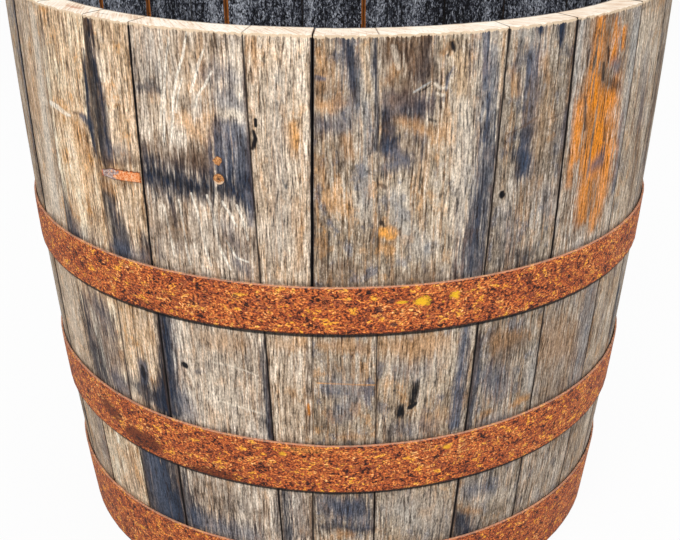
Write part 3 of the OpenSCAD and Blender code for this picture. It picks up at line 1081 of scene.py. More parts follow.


# ---------------------------------------------------------------- wood finishes


# The stains that the photograph shows, by the stave's number in its name. Their places were
# picked on enlargements of it, and turned into azimuths and heights with the camera.
STAINS: dict[int, tuple[Stroke, ...]] = {1: (
    # Painted highlight: the pale and grey strip along the right edge stands for the stave's lit arris
    PALE.line(0.95, (-53.6, 567, 4.5), (-53.8, 526, 6), (-55, 469, 7.5), (-56, 420, 8.5), (-56.6, 381, 9)),
    ASH.line(0.25, (-53.4, 544, 4.5), (-54.2, 489, 5), (-55.2, 431, 5.5), (-55.4, 385, 5.5)),
    BROWN.line(0.5, (-59.4, 547, 6.5), (-61.4, 489, 8), (-62.6, 428, 9), (-62.4, 383, 9.5)),
    PALE.line(0.85, (-56, 491, 2.5), (-53, 490, 2)),
    HONEY.wash(0.4, (-57.4, 522, 11.5), (-59.4, 473, 13.5)),
    PALE.wash(0.4, (-56.4, 282, 19), (-55.8, 233, 16)),
    SLATE.wash(0.45, (-54.8, 140, 10), (-55.2, 101, 10.5)),
), 2: (
    UMBER.line(0.35, (-51.8, 560, 6), (-51.6, 538, 8), (-52, 506, 8.5), (-52.4, 473, 11), (-52.8, 444, 9)),
    SLATE.wash(0.5, (-51.6, 551, 6), (-51.8, 528, 6), (-51.8, 511, 4)),
    INK.line(0.9, (-53.2, 419, 5), (-52.6, 399, 9.5), (-51.6, 382, 13.5), (-50.8, 366, 20)),
    CREAM.line(0.95, (-52.2, 491, 2.5), (-49, 489, 2.5), (-46.6, 486, 2), (-45.6, 486, 1.4), torn=0.5),
    UMBER.line(0.7, (-44.6, 490, 1.6), (-43, 491, 1.8), (-41.6, 489, 2)),
    SLATE.line(0.8, (-42.6, 489, 3), (-41.2, 486, 4), (-40.4, 482, 4)),
    INK.line(1, (-40, 549, 1.9), (-40, 528, 4), (-40.2, 506, 5), (-40.4, 484, 5.5), (-40, 469, 5),
        (-39.6, 457, 3.5), torn=0.6),
    AMBER.wash(0.3, (-46.2, 472, 13.5), (-45.6, 454, 16.5), (-44.8, 427, 16.5)),
    SLATE.wash(0.35, (-49.6, 368, 12.5), (-42.4, 368, 9.5)),
    HONEY.line(0.35, (-45.2, 315, 18), (-41.2, 315, 9.5)),
    INK.line(0.55, (-45.6, 298, 13), (-44, 289, 16), (-42.8, 279, 8.5)),
    SLATE.line(0.5, (-47.4, 285, 28), (-46.2, 250, 29.5), (-43.2, 216, 25.5)),
    INK.line(0.9, (-52, 292, 10), (-51.6, 262, 15), (-51, 237, 22), (-50, 220, 24)),
    UMBER.wash(0.35, (-45.8, 256, 17.5), (-44, 232, 16.5)),
    SLATE.line(0.5, (-43.6, 219, 13), (-39.8, 215, 9.5)),
    PALE.line(0.25, (-50.4, 115, 26.5), (-46, 94, 22.5)),
), 3: (
    INK.line(1, (-38.4, 578, 5), (-38.2, 557, 6.5), (-38, 538, 8.5), (-37.8, 519, 9.5),
        (-37.8, 498, 10), (-37.8, 478, 9.5), (-37.4, 458, 7.5)),
    SOOT.line(0.65, (-38.8, 575, 2.5), (-38.6, 550, 3.5), (-38.6, 525, 4.5), (-38.8, 499, 5),
        (-38.8, 472, 5.5), (-38.4, 456, 4)),
    UMBER.wash(0.7, (-38, 452, 4), (-34.4, 456, 4), (-31.4, 461, 4)),
    SLATE.wash(0.5, (-36.2, 466, 7.5), (-33.4, 467, 5.5)),
    INK.line(0.9, (-38.6, 430, 6), (-38, 413, 9.5), (-37.2, 394, 12), (-36.4, 376, 15.5), torn=0.8),
    SOOT.line(0.5, (-39.4, 421, 3), (-38.8, 396, 4), (-38.4, 371, 5.5)),
    HONEY.line(0.6, (-39, 431, 4), (-37.8, 430, 5)),
    UMBER.wash(0.5, (-35.8, 436, 3.5), (-32.2, 439, 3.5)),
    INK.line(0.85, (-31.6, 392, 4.5), (-31.2, 374, 9)),
    SLATE.line(0.55, (-37.8, 370, 11), (-33, 367, 8.5)),
    PALE.line(0.5, (-35.8, 561, 2.5), (-36.4, 569, 1.2)),
    INK.wash(0.5, (-35.6, 255, 5.5), (-36, 231, 7)),
    SLATE.line(0.7, (-35.8, 252, 6.5), (-36, 237, 6.5)),
    SOOT.line(0.9, (-36, 250, 2.5), (-36, 241, 3.5), torn=0.8),
    INK.line(1, (-30.6, 318, 4.5), (-30.6, 287, 6), (-30.6, 253, 9.5), (-31.2, 217, 15.5), torn=0.6),
    SOOT.line(0.6, (-30.6, 318, 2.5), (-30.6, 284, 3), (-30.8, 248, 4.5), (-31, 214, 7.5)),
    INK.line(0.9, (-39, 226, 14), (-35.2, 221, 17), (-31.8, 217, 17)),
    HONEY.wash(0.3, (-33.8, 300, 7.5), (-33.6, 284, 8)),
    INK.line(0.9, (-37.4, 146, 22.5), (-37, 117, 27.5), (-36, 87, 32.5), torn=0.4),
    INK.line(0.9, (-33.2, 149, 23), (-32.8, 113, 25), (-32.6, 76, 22.5)),
    SLATE.line(0.65, (-37, 139, 14.5), (-36.4, 106, 17.5), (-35.6, 75, 18)),
    SLATE.line(0.5, (-37.8, 146, 3), (-37.8, 115, 3.5)),
), 4: (
    ASH.line(0.35, (-26.8, 567, 9.5), (-27.4, 539, 9.5)),
    TAN.wash(0.3, (-20.6, 563, 10), (-22.6, 529, 9), (-26.4, 502, 11.5)),
    INK.wash(0.8, (-30.2, 526, 4), (-28.2, 528, 4), (-26.4, 527, 2.5)),
    SLATE.wash(0.5, (-18.6, 543, 5), (-16, 547, 8), (-13.8, 540, 8)),
    SLATE.line(0.6, (-15.8, 526, 9), (-13.8, 521, 6.5)),
    AMBER.line(0.35, (-22.4, 503, 8), (-20.6, 497, 10.5), (-19.2, 508, 7)),
    BROWN.line(0.5, (-29.8, 471, 10.5), (-25.6, 471, 12.5), (-21.6, 473, 12.5), torn=1.4),
    INK.wash(0.5, (-28.8, 465, 6), (-24.4, 463, 7.5), (-19.6, 462, 7)),
    UMBER.line(0.75, (-25.2, 466, 7.5), (-22.6, 470, 12), (-20, 469, 13.5), (-18.2, 468, 10.5), torn=1.3),
    SLATE.line(0.75, (-16.6, 499, 9), (-16.8, 483, 10), (-16.4, 464, 11), torn=0.9),
    SLATE.line(0.8, (-14.2, 501, 9), (-14, 484, 10), (-13.8, 463, 11), torn=0.9),
    INK.line(0.5, (-15.6, 481, 6.5), (-15.2, 464, 8.5), torn=1.8),
    INK.line(0.65, (-13.4, 493, 4), (-13.2, 471, 6), (-13.2, 454, 6.5)),
    INK.line(0.4, (-17.4, 504, 2.5), (-17.2, 491, 2.5)),
    INK.line(1, (-31, 450, 16.5), (-27.6, 450, 14.5), (-24.2, 448, 13.5), (-20.6, 447, 12),
        (-16.6, 450, 12), (-13, 445, 15)),
    INK.wash(0.6, (-30, 477, 4), (-29.6, 464, 6.5)),
    SOOT.wash(0.55, (-29, 455, 3), (-25.6, 452, 3.5), (-20.6, 445, 3), (-17.2, 448, 3.5)),
    PALE.line(0.85, (-15.6, 513, 2.5), (-14.8, 515, 3), (-14.2, 512, 2.5)),
    INK.line(0.9, (-26.2, 437, 1.5), (-25.6, 427, 2.5), (-25.4, 417, 2.5), (-25.2, 408, 1)),
    SLATE.line(0.6, (-13.4, 444, 4), (-13, 430, 3.5), (-13, 419, 2.5)),
    CREAM.line(0.78, (-25.6, 560, 0.7), (-25.6, 540, 0.8), (-25.8, 519, 0.8), (-26.4, 497, 0.6), torn=0.5),
    CREAM.line(0.78, (-23.8, 571, 0.8), (-24.6, 551, 1), (-25.2, 529, 1.3), (-25.6, 506, 1.2),
        (-26, 483, 0.9), torn=0.5),
    CREAM.line(0.78, (-21, 577, 0.8), (-21.8, 558, 1.1), (-23, 541, 1.2), (-23.8, 522, 1.2),
        (-24.2, 505, 1), (-24.8, 484, 0.9), torn=0.5),
    CREAM.line(0.78, (-18.6, 564, 0.7), (-19.6, 551, 1.2), (-20.4, 537, 1.2), (-21, 529, 1), torn=0.5),
    CREAM.line(0.78, (-17.6, 547, 0.7), (-18.8, 535, 1), (-20, 526, 1), (-20.4, 516, 1), torn=0.5),
    CREAM.line(0.78, (-22.2, 539, 0.7), (-23, 526, 0.8), (-23.6, 510, 0.7), torn=0.5),
    PALE.line(0.7, (-27, 555, 0.6), (-27.2, 539, 0.6)),
    CREAM.line(0.78, (-22.2, 441, 0.9), (-21.4, 425, 1.1), (-21, 407, 1.1), (-20.4, 389, 1),
        (-19.8, 376, 0.9), torn=0.5),
    CREAM.line(0.78, (-19.6, 441, 1), (-18.8, 426, 1.2), (-18.6, 409, 1.2), (-18, 392, 1.4),
        (-16.6, 375, 1.2), torn=0.5),
    CREAM.line(0.78, (-17.2, 437, 1.1), (-16.2, 427, 1.2), (-15.2, 416, 1.1), torn=0.5),
    CREAM.line(0.78, (-15, 435, 1.1), (-14.2, 423, 1.1), (-13.6, 405, 1), torn=0.5),
    CREAM.line(0.78, (-24.4, 433, 0.9), (-24, 411, 0.9), (-23.8, 387, 1), (-23.4, 374, 0.9), torn=0.5),
    CREAM.line(0.78, (-27.2, 426, 0.9), (-26.6, 403, 1), (-26.2, 380, 0.9), torn=0.5),
    CREAM.line(0.78, (-17, 402, 1), (-15.6, 387, 1.2), (-13.8, 384, 1), torn=0.5),
    SLATE.wash(0.55, (-15.6, 383, 6.5), (-14.2, 376, 5.5)),
    BROWN.line(0.45, (-26.4, 408, 14.5), (-21.2, 404, 13), (-15.6, 403, 10.5)),
    SLATE.wash(0.35, (-17, 416, 8), (-15.4, 399, 7)),
    PALE.line(0.35, (-20.8, 296, 20), (-20.2, 244, 23)),
    HONEY.line(0.35, (-22, 302, 8), (-18.4, 302, 9), (-15, 302, 7.5)),
    SLATE.line(0.6, (-29.4, 320, 9), (-29.4, 286, 9.5), (-29.4, 250, 9.5), (-29, 215, 13.5)),
    INK.line(1, (-29.6, 320, 7), (-29.8, 288, 7), (-30, 252, 7.5), (-30, 214, 9), torn=0.6),
    SOOT.line(1, (-26.4, 268, 3.5), torn=0.4),
    PALE.line(0.9, (-21.2, 278, 0.8), (-18.2, 278, 1), (-15.4, 275, 0.8), (-13.2, 271, 0.8)),
    PALE.line(0.95, (-23.2, 238, 0.9), (-20, 237, 1.3), (-16.2, 234, 1.2), (-12.2, 230, 1)),
    SLATE.wash(0.45, (-24.4, 264, 2), (-22.8, 266, 2)),
    SLATE.wash(0.5, (-27.2, 229, 8.5), (-25.6, 215, 7)),
    INK.line(0.95, (-12, 304, 3.5), (-11.8, 284, 6), (-11.6, 257, 7.5), (-11.4, 230, 8.5),
        (-11.4, 207, 10)),
    SOOT.line(0.6, (-11, 299, 1.4), (-11, 258, 3), (-10.8, 214, 3)),
    INK.line(0.9, (-30, 134, 8), (-29.8, 107, 12.5), (-29.4, 79, 18)),
    UMBER.line(0.3, (-25.4, 127, 17.5), (-18.4, 119, 18), (-14.2, 111, 15)),
    SLATE.line(0.65, (-27.4, 86, 16), (-22, 82, 14.5), (-17, 83, 13.5)),
    INK.line(0.5, (-11.4, 132, 2), (-11.4, 95, 3)),
), 5: (
    SOOT.line(1, (-11.6, 510, 1.6), (-11.6, 505, 1.4), torn=0.5),
    SOOT.line(1, (-12, 500, 2), (-11.8, 494, 2.5), (-12.2, 486, 2), torn=0.5),
    HONEY.wash(0.6, (-11.6, 574, 3), (-11.4, 557, 3), (-11.6, 541, 2.5)),
    AMBER.wash(0.8, (-6.4, 507, 2.5), (-6, 498, 3.5), (-6, 490, 2.5)),
    HONEY.wash(0.5, (-7.2, 505, 3), (-6.8, 495, 4.5), (-6, 482, 4)),
    SOOT.line(0.9, (-8, 460, 0.7), (-7.6, 454, 1.2)),
    HONEY.wash(0.35, (-9, 477, 1.6), (-9.2, 451, 1.6), (-9.8, 429, 1.7)),
    HONEY.wash(0.4, (-6, 444, 2.5), (-6, 408, 2.5), (-6.2, 380, 2.5)),
    UMBER.line(0.55, (-10.8, 415, 1.3), (-10.6, 397, 1.5), (-10.8, 373, 1.4)),
    ASH.wash(0.4, (-8.2, 543, 6), (-8.8, 511, 6.5), (-8.2, 443, 6.5), (-8.8, 398, 6.5)),
    UMBER.line(0.5, (-3.8, 560, 1.1), (-3.8, 487, 1.6), (-4, 390, 1.7)),
    HONEY.line(0.45, (-9.2, 306, 7), (-6.2, 306, 7)),
    UMBER.wash(0.75, (-4.8, 304, 2), (-4.8, 281, 3), (-5, 250, 2.5), (-5, 215, 3)),
    RUST.line(0.75, (-5, 244, 1.8), (-4.8, 235, 2), torn=1.7),
    BROWN.line(0.25, (-8.2, 291, 11), (-7.8, 249, 11), (-7.2, 216, 11.5)),
    INK.line(0.9, (-9.8, 141, 5), (-9.6, 115, 6), (-9.6, 86, 7.5)),
    SLATE.line(0.4, (-7.4, 137, 9), (-7.2, 92, 9.5)),
    UMBER.wash(0.4, (-6.2, 135, 6), (-6.2, 92, 6.5)),
    BROWN.line(0.6, (-4.6, 141, 2), (-5, 89, 2)),
), 6: (
    SLATE.line(0.6, (0.8, 578, 6.5), (1.4, 560, 8), (1.8, 541, 7)),
    INK.line(0.9, (1, 578, 3), (1.4, 566, 5), (1.8, 552, 5), (2.4, 536, 3.5), (2.6, 525, 2.5)),
    INK.line(0.9, (4.8, 577, 2), (4.8, 558, 3), (5, 536, 2.5), (5.2, 513, 2.5), (5.2, 487, 1.6)),
    SLATE.wash(0.55, (3.6, 525, 3), (4.2, 508, 3), (4.4, 487, 3)),
    TAN.line(0.6, (3.2, 572, 2), (3.4, 555, 2), (4, 536, 2.5)),
    HONEY.wash(0.55, (-2.6, 566, 3), (-1.8, 558, 4.5), (-2.2, 538, 4.5)),
    SLATE.line(0.75, (-3, 546, 1.9), (-2, 545, 1.9)),
    HONEY.line(0.75, (-2.8, 525, 4), (-1, 523, 6), (0.8, 526, 4)),
    UMBER.wash(0.7, (-2.8, 512, 3), (-1.8, 507, 4.5), (-2.4, 499, 3)),
    UMBER.wash(0.4, (0.2, 506, 7), (1.2, 487, 6), (-0.4, 469, 6.5)),
    SLATE.line(0.5, (-2.6, 508, 6), (0.8, 510, 9), (1.4, 524, 7.5)),
    UMBER.line(0.35, (-1.8, 536, 9), (0.8, 532, 9)),
    HONEY.wash(0.6, (1.2, 496, 4), (1.6, 483, 4)),
    HONEY.wash(0.4, (-2.6, 479, 3), (-2.4, 457, 4)),
    AMBER.wash(0.45, (-1.8, 444, 6.5), (0.2, 439, 7)),
    SOOT.line(0.8, (-1.4, 416, 1), (-1.6, 399, 1.3), (-1.6, 383, 1)),
    UMBER.wash(0.45, (-2.8, 408, 2.5), (-2.6, 381, 3.5), (0.8, 388, 4)),
    SLATE.wash(0.45, (3.2, 474, 3), (3.8, 444, 4)),
    ASH.wash(0.4, (3, 560, 2), (3.8, 487, 3), (3.6, 431, 5)),
    SOOT.line(0.5, (4.6, 466, 0.9), (3.6, 470, 0.8)),
    UMBER.line(0.4, (1.6, 376, 11.5), (-2, 369, 6.5)),
    HONEY.line(0.55, (-3, 307, 5), (1, 307, 8), (4.6, 302, 6)),
    AMBER.line(0.75, (-3.4, 268, 0.7), (1, 267, 0.7), (6.4, 265, 0.7), (9.6, 263, 0.6)),
    UMBER.wash(0.5, (-1, 282, 6), (2, 280, 7)),
    SLATE.line(0.5, (-0.6, 263, 11), (3, 257, 11), (0.2, 234, 11)),
    HONEY.wash(0.6, (0.2, 210, 4.5), (3.2, 210, 5.5)),
    SOOT.line(0.6, (1.8, 203, 4.5)),
    INK.wash(0.75, (-0.8, 131, 5), (1, 122, 7), (4, 136, 7), (5.2, 116, 5)),
    INK.wash(0.85, (-3.2, 103, 5), (-0.2, 106, 6), (3.4, 99, 6), (5.6, 101, 4)),
    SLATE.line(0.7, (-2, 131, 14), (2.8, 122, 15), (5.2, 105, 8)),
    HONEY.wash(0.6, (0.2, 96, 4), (2.4, 93, 4)),
), 7: (
    HONEY.line(0.35, (9.6, 300, 14.5), (16.4, 296, 15.5)),
    BROWN.line(0.5, (7, 559, 12), (7.8, 527, 12.5), (8.2, 494, 12)),
    UMBER.line(0.4, (11.2, 547, 11), (11.8, 514, 11), (10.2, 485, 9.5)),
    UMBER.line(0.5, (6.6, 567, 10.5), (10.2, 565, 14), (12.4, 546, 11)),
    SLATE.line(0.55, (7.2, 524, 11), (11.8, 522, 11)),
    UMBER.line(0.4, (7.2, 486, 9.5), (10, 473, 9.5)),
    UMBER.wash(0.6, (6.2, 575, 3.5), (6.6, 561, 4)),
    UMBER.wash(0.8, (8.6, 575, 4), (9, 561, 4.5)),
    INK.wash(0.6, (12.2, 574, 4), (11.8, 557, 6), (11, 544, 6)),
    UMBER.wash(0.6, (10.8, 576, 6), (10.4, 559, 6), (9, 537, 6)),
    HONEY.wash(0.6, (7.6, 552, 4), (6.8, 544, 4)),
    PALE.line(0.6, (7.2, 570, 1.5), (8, 553, 1.9)),
    UMBER.line(0.55, (7, 529, 6), (10, 527, 8), (12.6, 520, 5.5)),
    INK.wash(0.75, (11.2, 522, 5.5), (10.8, 511, 5), (9, 517, 4.5)),
    INK.line(0.9, (6.2, 516, 4.5), (6.8, 503, 7), (6.2, 488, 5.5), (8, 496, 4.5)),
    SLATE.wash(0.7, (7.4, 486, 6.5), (9.2, 477, 6.5), (6.6, 471, 4)),
    INK.wash(0.7, (12, 491, 2.5), (11.8, 478, 3)),
    HONEY.wash(0.65, (8.6, 510, 3), (10.6, 505, 5.5), (13, 498, 5.5)),
    HONEY.wash(0.5, (15, 532, 2), (15, 515, 2), (14.2, 492, 2.5)),
    SOOT.line(0.7, (12.6, 510, 1.3), (13.6, 508, 1.3)),
    ASH.line(0.95, (10.2, 533, 0.7), (11.4, 537, 0.9), (12.6, 541, 0.7)),
    SOOT.line(0.85, (11, 533, 0.7), (12, 536, 0.9), (12.8, 539, 0.6)),
    PALE.line(0.95, (13.2, 539, 1.3), (14, 535, 1.6), (14.8, 535, 1.3)),
    PALE.line(0.95, (13.6, 531, 1.3), (14.4, 529, 1.5)),
    BROWN.line(0.6, (15.2, 568, 4)),
    SOOT.line(1, (15.4, 571, 1.2), (15.6, 566, 1.9), (15.8, 564, 1.2)),
    SOOT.line(0.8, (14.8, 561, 1)),
    SLATE.line(0.75, (15.8, 552, 1), (15, 544, 1.4), (14.8, 533, 0.8)),
    INK.line(0.8, (17, 521, 0.7), (17, 508, 0.8), (16.8, 496, 0.8), (17, 486, 1.1), (16.6, 481, 1)),
    TAN.line(0.5, (16.8, 557, 7.5), (17, 532, 6.5)),
    PALE.wash(0.7, (18, 515, 5), (17.8, 482, 7), (18, 447, 7), (17.8, 416, 7)),
    SLATE.line(0.6, (20.2, 577, 2.5), (20.4, 556, 2.5), (20.6, 532, 2)),
    ASH.line(0.6, (21.2, 566, 2), (21.6, 534, 2), (20.2, 506, 1.7)),
    ASH.line(0.5, (22, 562, 3), (22.4, 505, 3), (22.4, 453, 3.5)),
    INK.line(0.75, (21.2, 526, 1.8), (21.2, 505, 2), (21, 488, 2)),
    SLATE.wash(0.75, (20.2, 575, 6), (20.6, 547, 7), (21.2, 518, 7), (21.4, 484, 8), (21.2, 449, 10),
        (21, 413, 12), (20.6, 373, 13.5)),
    INK.line(0.8, (22.8, 523, 1.8), (22.8, 500, 3.5), (22.4, 479, 5.5), (22, 453, 7.5),
        (21.4, 431, 8.5), (21, 407, 9.5), (21, 376, 10.5), torn=1.4),
    AMBER.line(1, (6.6, 414, 5), (7.8, 413, 5.5), torn=0.7),
    AMBER.line(0.4, (6.6, 400, 4.5), (7.4, 397, 4.5)),
    SOOT.line(0.9, (6.2, 423, 1.8), (6.6, 420, 1.1)),
    UMBER.line(0.85, (5.8, 457, 1.1), (6.6, 454, 1.6)),
    UMBER.line(0.5, (10.2, 397, 1.3), (10.4, 406, 1.3), (11, 410, 1.3)),
    ASH.line(0.45, (8, 447, 6.5), (9.2, 420, 7.5), (12.8, 396, 10.5)),
    UMBER.line(0.45, (9.2, 371, 8.5), (15.4, 370, 11)),
    HONEY.line(0.55, (8, 306, 9), (12, 301, 11), (16.2, 304, 11.5)),
    SLATE.wash(0.45, (8.4, 282, 7.5), (11.8, 276, 8.5), (14.8, 278, 7.5)),
    SOOT.line(0.8, (9, 258, 1)),
    HONEY.wash(0.4, (14.6, 222, 8), (18.2, 221, 7)),
    SLATE.wash(0.4, (9.4, 215, 8.5), (15.6, 213, 9)),
    SLATE.line(0.85, (20.6, 316, 4), (20.4, 281, 5), (20.2, 244, 5), (20.2, 211, 6)),
    INK.line(0.5, (21.4, 301, 1.5), (21.2, 248, 1.6)),
    PALE.wash(0.35, (15, 255, 9), (16.4, 296, 6.5)),
    TAN.line(0.4, (10, 133, 9.5), (14.6, 135, 13), (18, 101, 10)),
    INK.wash(0.6, (21, 97, 3.5), (21.2, 73, 6)),
    ASH.line(0.5, (11, 126, 21), (17, 102, 22.5)),
    SOOT.line(1, (12.6, 263, 3), (12.4, 253, 4), (12.2, 244, 3.5), torn=1.1),
    SOOT.line(1, (12.8, 242, 1.7), (11.8, 238, 2.5), torn=0.5),
    SOOT.line(1, (10.2, 239, 2.5), (10.2, 232, 3.5), torn=1.1),
), 8: (
    ASH.wash(0.55, (25.4, 578, 7.5), (27.6, 568, 7.5)),
    SLATE.wash(0.4, (29, 558, 8), (25.8, 552, 7.5)),
    INK.line(1, (28.8, 583, 5), (29, 574, 5)),
    INK.line(1, (32.4, 583, 5.5), (32.8, 568, 5.5), (32.8, 558, 2.5)),
    HONEY.wash(0.55, (24.6, 543, 4.5), (25.8, 526, 4.5)),
    HONEY.wash(0.5, (29.8, 549, 5), (31, 533, 4)),
    SLATE.line(0.7, (28.2, 550, 8), (28.2, 520, 9), (28.4, 498, 8)),
    UMBER.line(0.35, (30.8, 519, 12.5), (30.8, 436, 15.5)),
    INK.line(0.6, (26.8, 511, 3.5), (28.2, 510, 3)),
    INK.line(0.9, (26.6, 489, 5.5), (28, 487, 8), (29.2, 489, 5.5)),
    INK.line(1, (27, 472, 7), (28.4, 465, 8.5), (27.6, 455, 6)),
    SOOT.line(0.6, (27.6, 469, 3), (27.6, 459, 2)),
    SLATE.wash(0.6, (28.2, 479, 6), (28.8, 454, 5)),
    SOOT.line(1, (24.8, 437, 3.5), torn=0.4),
    UMBER.line(0.65, (23.2, 488, 0.7), (25.8, 492, 1), (28.2, 497, 1), (29.6, 501, 0.8)),
    UMBER.line(0.55, (30.4, 496, 0.8), (32.6, 498, 1.1), (35.2, 501, 0.9)),
    SOOT.line(0.6, (32.2, 488, 1.5)),
    PALE.line(0.4, (24.2, 577, 1.8), (23.8, 529, 2.5), (23.6, 482, 2.5), (23.6, 434, 2.5)),
    UMBER.line(0.6, (35, 553, 2.5), (35.2, 520, 3.5), (35, 485, 4.5), (35.2, 458, 3.5), (35.4, 421, 2.5)),
    SLATE.wash(0.45, (35.4, 498, 6), (35, 476, 7)),
    SLATE.wash(0.35, (32.8, 429, 7), (34.4, 408, 6)),
    SLATE.wash(0.35, (25.6, 418, 8), (27, 389, 8.5)),
    INK.line(0.5, (25.6, 374, 7), (31.2, 377, 9)),
    TAN.wash(0.3, (30.8, 519, 8.5), (30.8, 472, 7.5)),
    INK.line(0.85, (23.2, 299, 5), (23.2, 268, 6.5), (23, 235, 6.5), (22.8, 208, 5.5)),
    UMBER.line(0.6, (25.4, 301, 12), (27.6, 278, 15), (30.4, 289, 14.5)),
    SLATE.line(0.6, (25.4, 259, 12.5), (28.4, 241, 14.5)),
    HONEY.line(0.4, (27.2, 294, 11), (31.2, 293, 6)),
    ASH.wash(0.6, (35.8, 275, 5.5), (35.4, 254, 7), (35.2, 232, 7)),
    HONEY.line(0.6, (36.8, 302, 9.5), (40.2, 303, 12.5), (44.8, 301, 11)),
    SOOT.line(0.7, (36.6, 283, 1.1), (40.4, 283, 1.7), (45, 285, 2), (48.8, 287, 1.7)),
    SLATE.wash(0.45, (39.4, 269, 10.5), (42.4, 246, 12)),
    HONEY.line(0.75, (25.6, 214, 3.5), (26.8, 217, 3.5)),
    HONEY.line(0.8, (31.8, 216, 3.5), (33.4, 218, 4), (35, 218, 3)),
    SLATE.wash(0.5, (25.2, 204, 6), (30.4, 201, 7.5)),
    INK.line(0.95, (23.8, 95, 10), (25, 75, 14)),
    SLATE.wash(0.6, (24.8, 128, 8.5), (29.2, 124, 9.5)),
    HONEY.wash(0.65, (24.4, 104, 3.5), (27.2, 97, 4)),
    PALE.wash(0.4, (27.8, 111, 6.5), (35, 106, 9.5)),
    UMBER.line(0.9, (39, 113, 2), (39, 107, 3)),
), 9: (
    BROWN.line(0.5, (38.6, 292, 23.5), (42.8, 251, 27.5), (41.6, 214, 27.5)),
    HONEY.line(0.3, (40.2, 272, 22), (43.4, 261, 21)),
    ASH.wash(0.7, (36.8, 575, 4.5), (36.6, 544, 4), (36.6, 510, 3), (36.6, 475, 3.5)),
    ASH.line(0.9, (51.2, 560, 10), (52.2, 528, 12.5), (53, 491, 14.5), (54, 442, 16), (54.6, 392, 15.5)),
    PALE.line(0.6, (52.8, 518, 4.5), (53.4, 490, 5.5), (54.2, 452, 5.5)),
    SLATE.line(0.6, (50, 481, 3), (50.4, 448, 4), (51.2, 408, 4.5)),
    BROWN.line(0.75, (42, 564, 20.5), (42.6, 530, 23), (42.4, 493, 27.5), (42.8, 449, 27), (43, 403, 23.5)),
    RUST.line(1, (40.6, 578, 4), (40.8, 562, 5.5), (40.8, 545, 6), (40.6, 530, 6), (41.2, 505, 7),
        torn=1.7),
    RUST.line(1, (44.6, 572, 3.5), (45, 555, 6.5), (45, 537, 6.5), torn=1.7),
    RUST.line(0.95, (47, 561, 2.5), (47.2, 545, 3), torn=1.7),
    RUST.line(0.85, (46.6, 515, 6.5), (46, 503, 9), torn=1.7),
    RUST.line(1, (41.4, 499, 11), (44.8, 490, 14), (44.2, 475, 21.5), (44.4, 456, 20.5), torn=1.7),
    RUST.line(0.8, (38.2, 503, 4.5), (38, 487, 5.5), (38.2, 473, 6), (38.2, 456, 4), torn=1.7),
    RUST.line(0.85, (41.6, 454, 7), (42.6, 434, 7.5), (42, 416, 9), (42.2, 396, 7.5), torn=1.7),
    RUST.line(0.85, (47.4, 446, 10.5), (47.4, 427, 11), (47, 409, 10), (46.4, 394, 7), torn=1.7),
    RUST.line(0.6, (45.4, 391, 5), (45.6, 379, 4.5), torn=1.7),
    RUST.line(0.5, (37.8, 451, 3), (37.6, 432, 3.5), torn=1.7),
    SLATE.line(0.75, (43.4, 442, 6), (45, 446, 7.5), torn=1.4),
    SLATE.line(0.6, (45.2, 534, 6), (46.4, 528, 5.5), torn=1.4),
    UMBER.line(0.85, (45.2, 516, 5.5), (47, 511, 5), torn=1.2),
    SOOT.line(0.8, (42.6, 535, 1.6), (43, 521, 1.9), torn=0.8),
    SOOT.line(0.85, (43.4, 548, 1.6), (43.8, 535, 1.6), torn=0.8),
    SOOT.line(0.7, (38.8, 550, 1), (38.8, 537, 1)),
    UMBER.line(0.85, (39.2, 509, 1.6), (40, 480, 1.9), torn=0.8),
    UMBER.line(0.7, (45, 484, 1.8), (45.4, 464, 1.8), torn=0.8),
    UMBER.line(0.6, (42.2, 484, 1.4), (42.4, 464, 1.5), torn=0.8),
    SLATE.line(0.45, (49.2, 309, 13), (50.4, 262, 18.5), (50.4, 215, 19.5)),
), 10: (
    BROWN.line(0.6, (57.4, 485, 4.5), (59.8, 433, 5.5), (60, 382, 5.5)),
    SLATE.wash(0.4, (56, 524, 8), (58.6, 464, 9.5)),
    UMBER.wash(0.4, (55.4, 285, 9), (56.4, 249, 10)),
)}


class OakGrain:
    """The pattern that runs over one stave's outer face. Its noises lie round zero."""

    def __init__(self, bench: Bench, number: int) -> None:
        """Lay out the pattern.

        Args:
            bench: The material's bench.
            number: The stave's number, which moves the pattern so that no two match.
        """
        self.bench = bench
        self.shift = (number * 3.71, number * 1.93, number * 0.77)
        self.lay = bench.attribute("lay")
        arc, self.height, _ = bench.split(self.lay)
        bend, wander = self.freely((14, 9, 0), 2), self.freely((90, 42, 0), 2)
        self.run = bench.node("ShaderNodeCombineXYZ", inputs={
            0: arc + bend * 0.008 + wander * 0.0008, 1: self.height})
        self.fine = self.along((500, 24, 0), 2, 0.6)
        self.dash = self.along((690, 80, 0), 2, 0.65)
        self.middle = self.along((210, 7, 0), 3, 0.6)
        self.mottle = self.freely((70, 42, 3), 5, 0.65)
        self.grit = self.freely((780, 400, 9), 2, 0.6)
        self.breakup = self.mottle * 0.9 + self.middle * 1.1 + self.fine * 0.9 + self.dash * 0.6

    def along(self, scale: Triple, detail: float, roughness: float = 0.5) -> Paint:
        """Sample a noise that follows the bent grain."""
        return self.bench.noise(self.run, scale, detail, roughness, self.shift)

    def freely(self, scale: Triple, detail: float, roughness: float = 0.5) -> Paint:
        """Sample a noise that doesn't follow the grain."""
        return self.bench.noise(self.lay, scale, detail, roughness, self.shift)


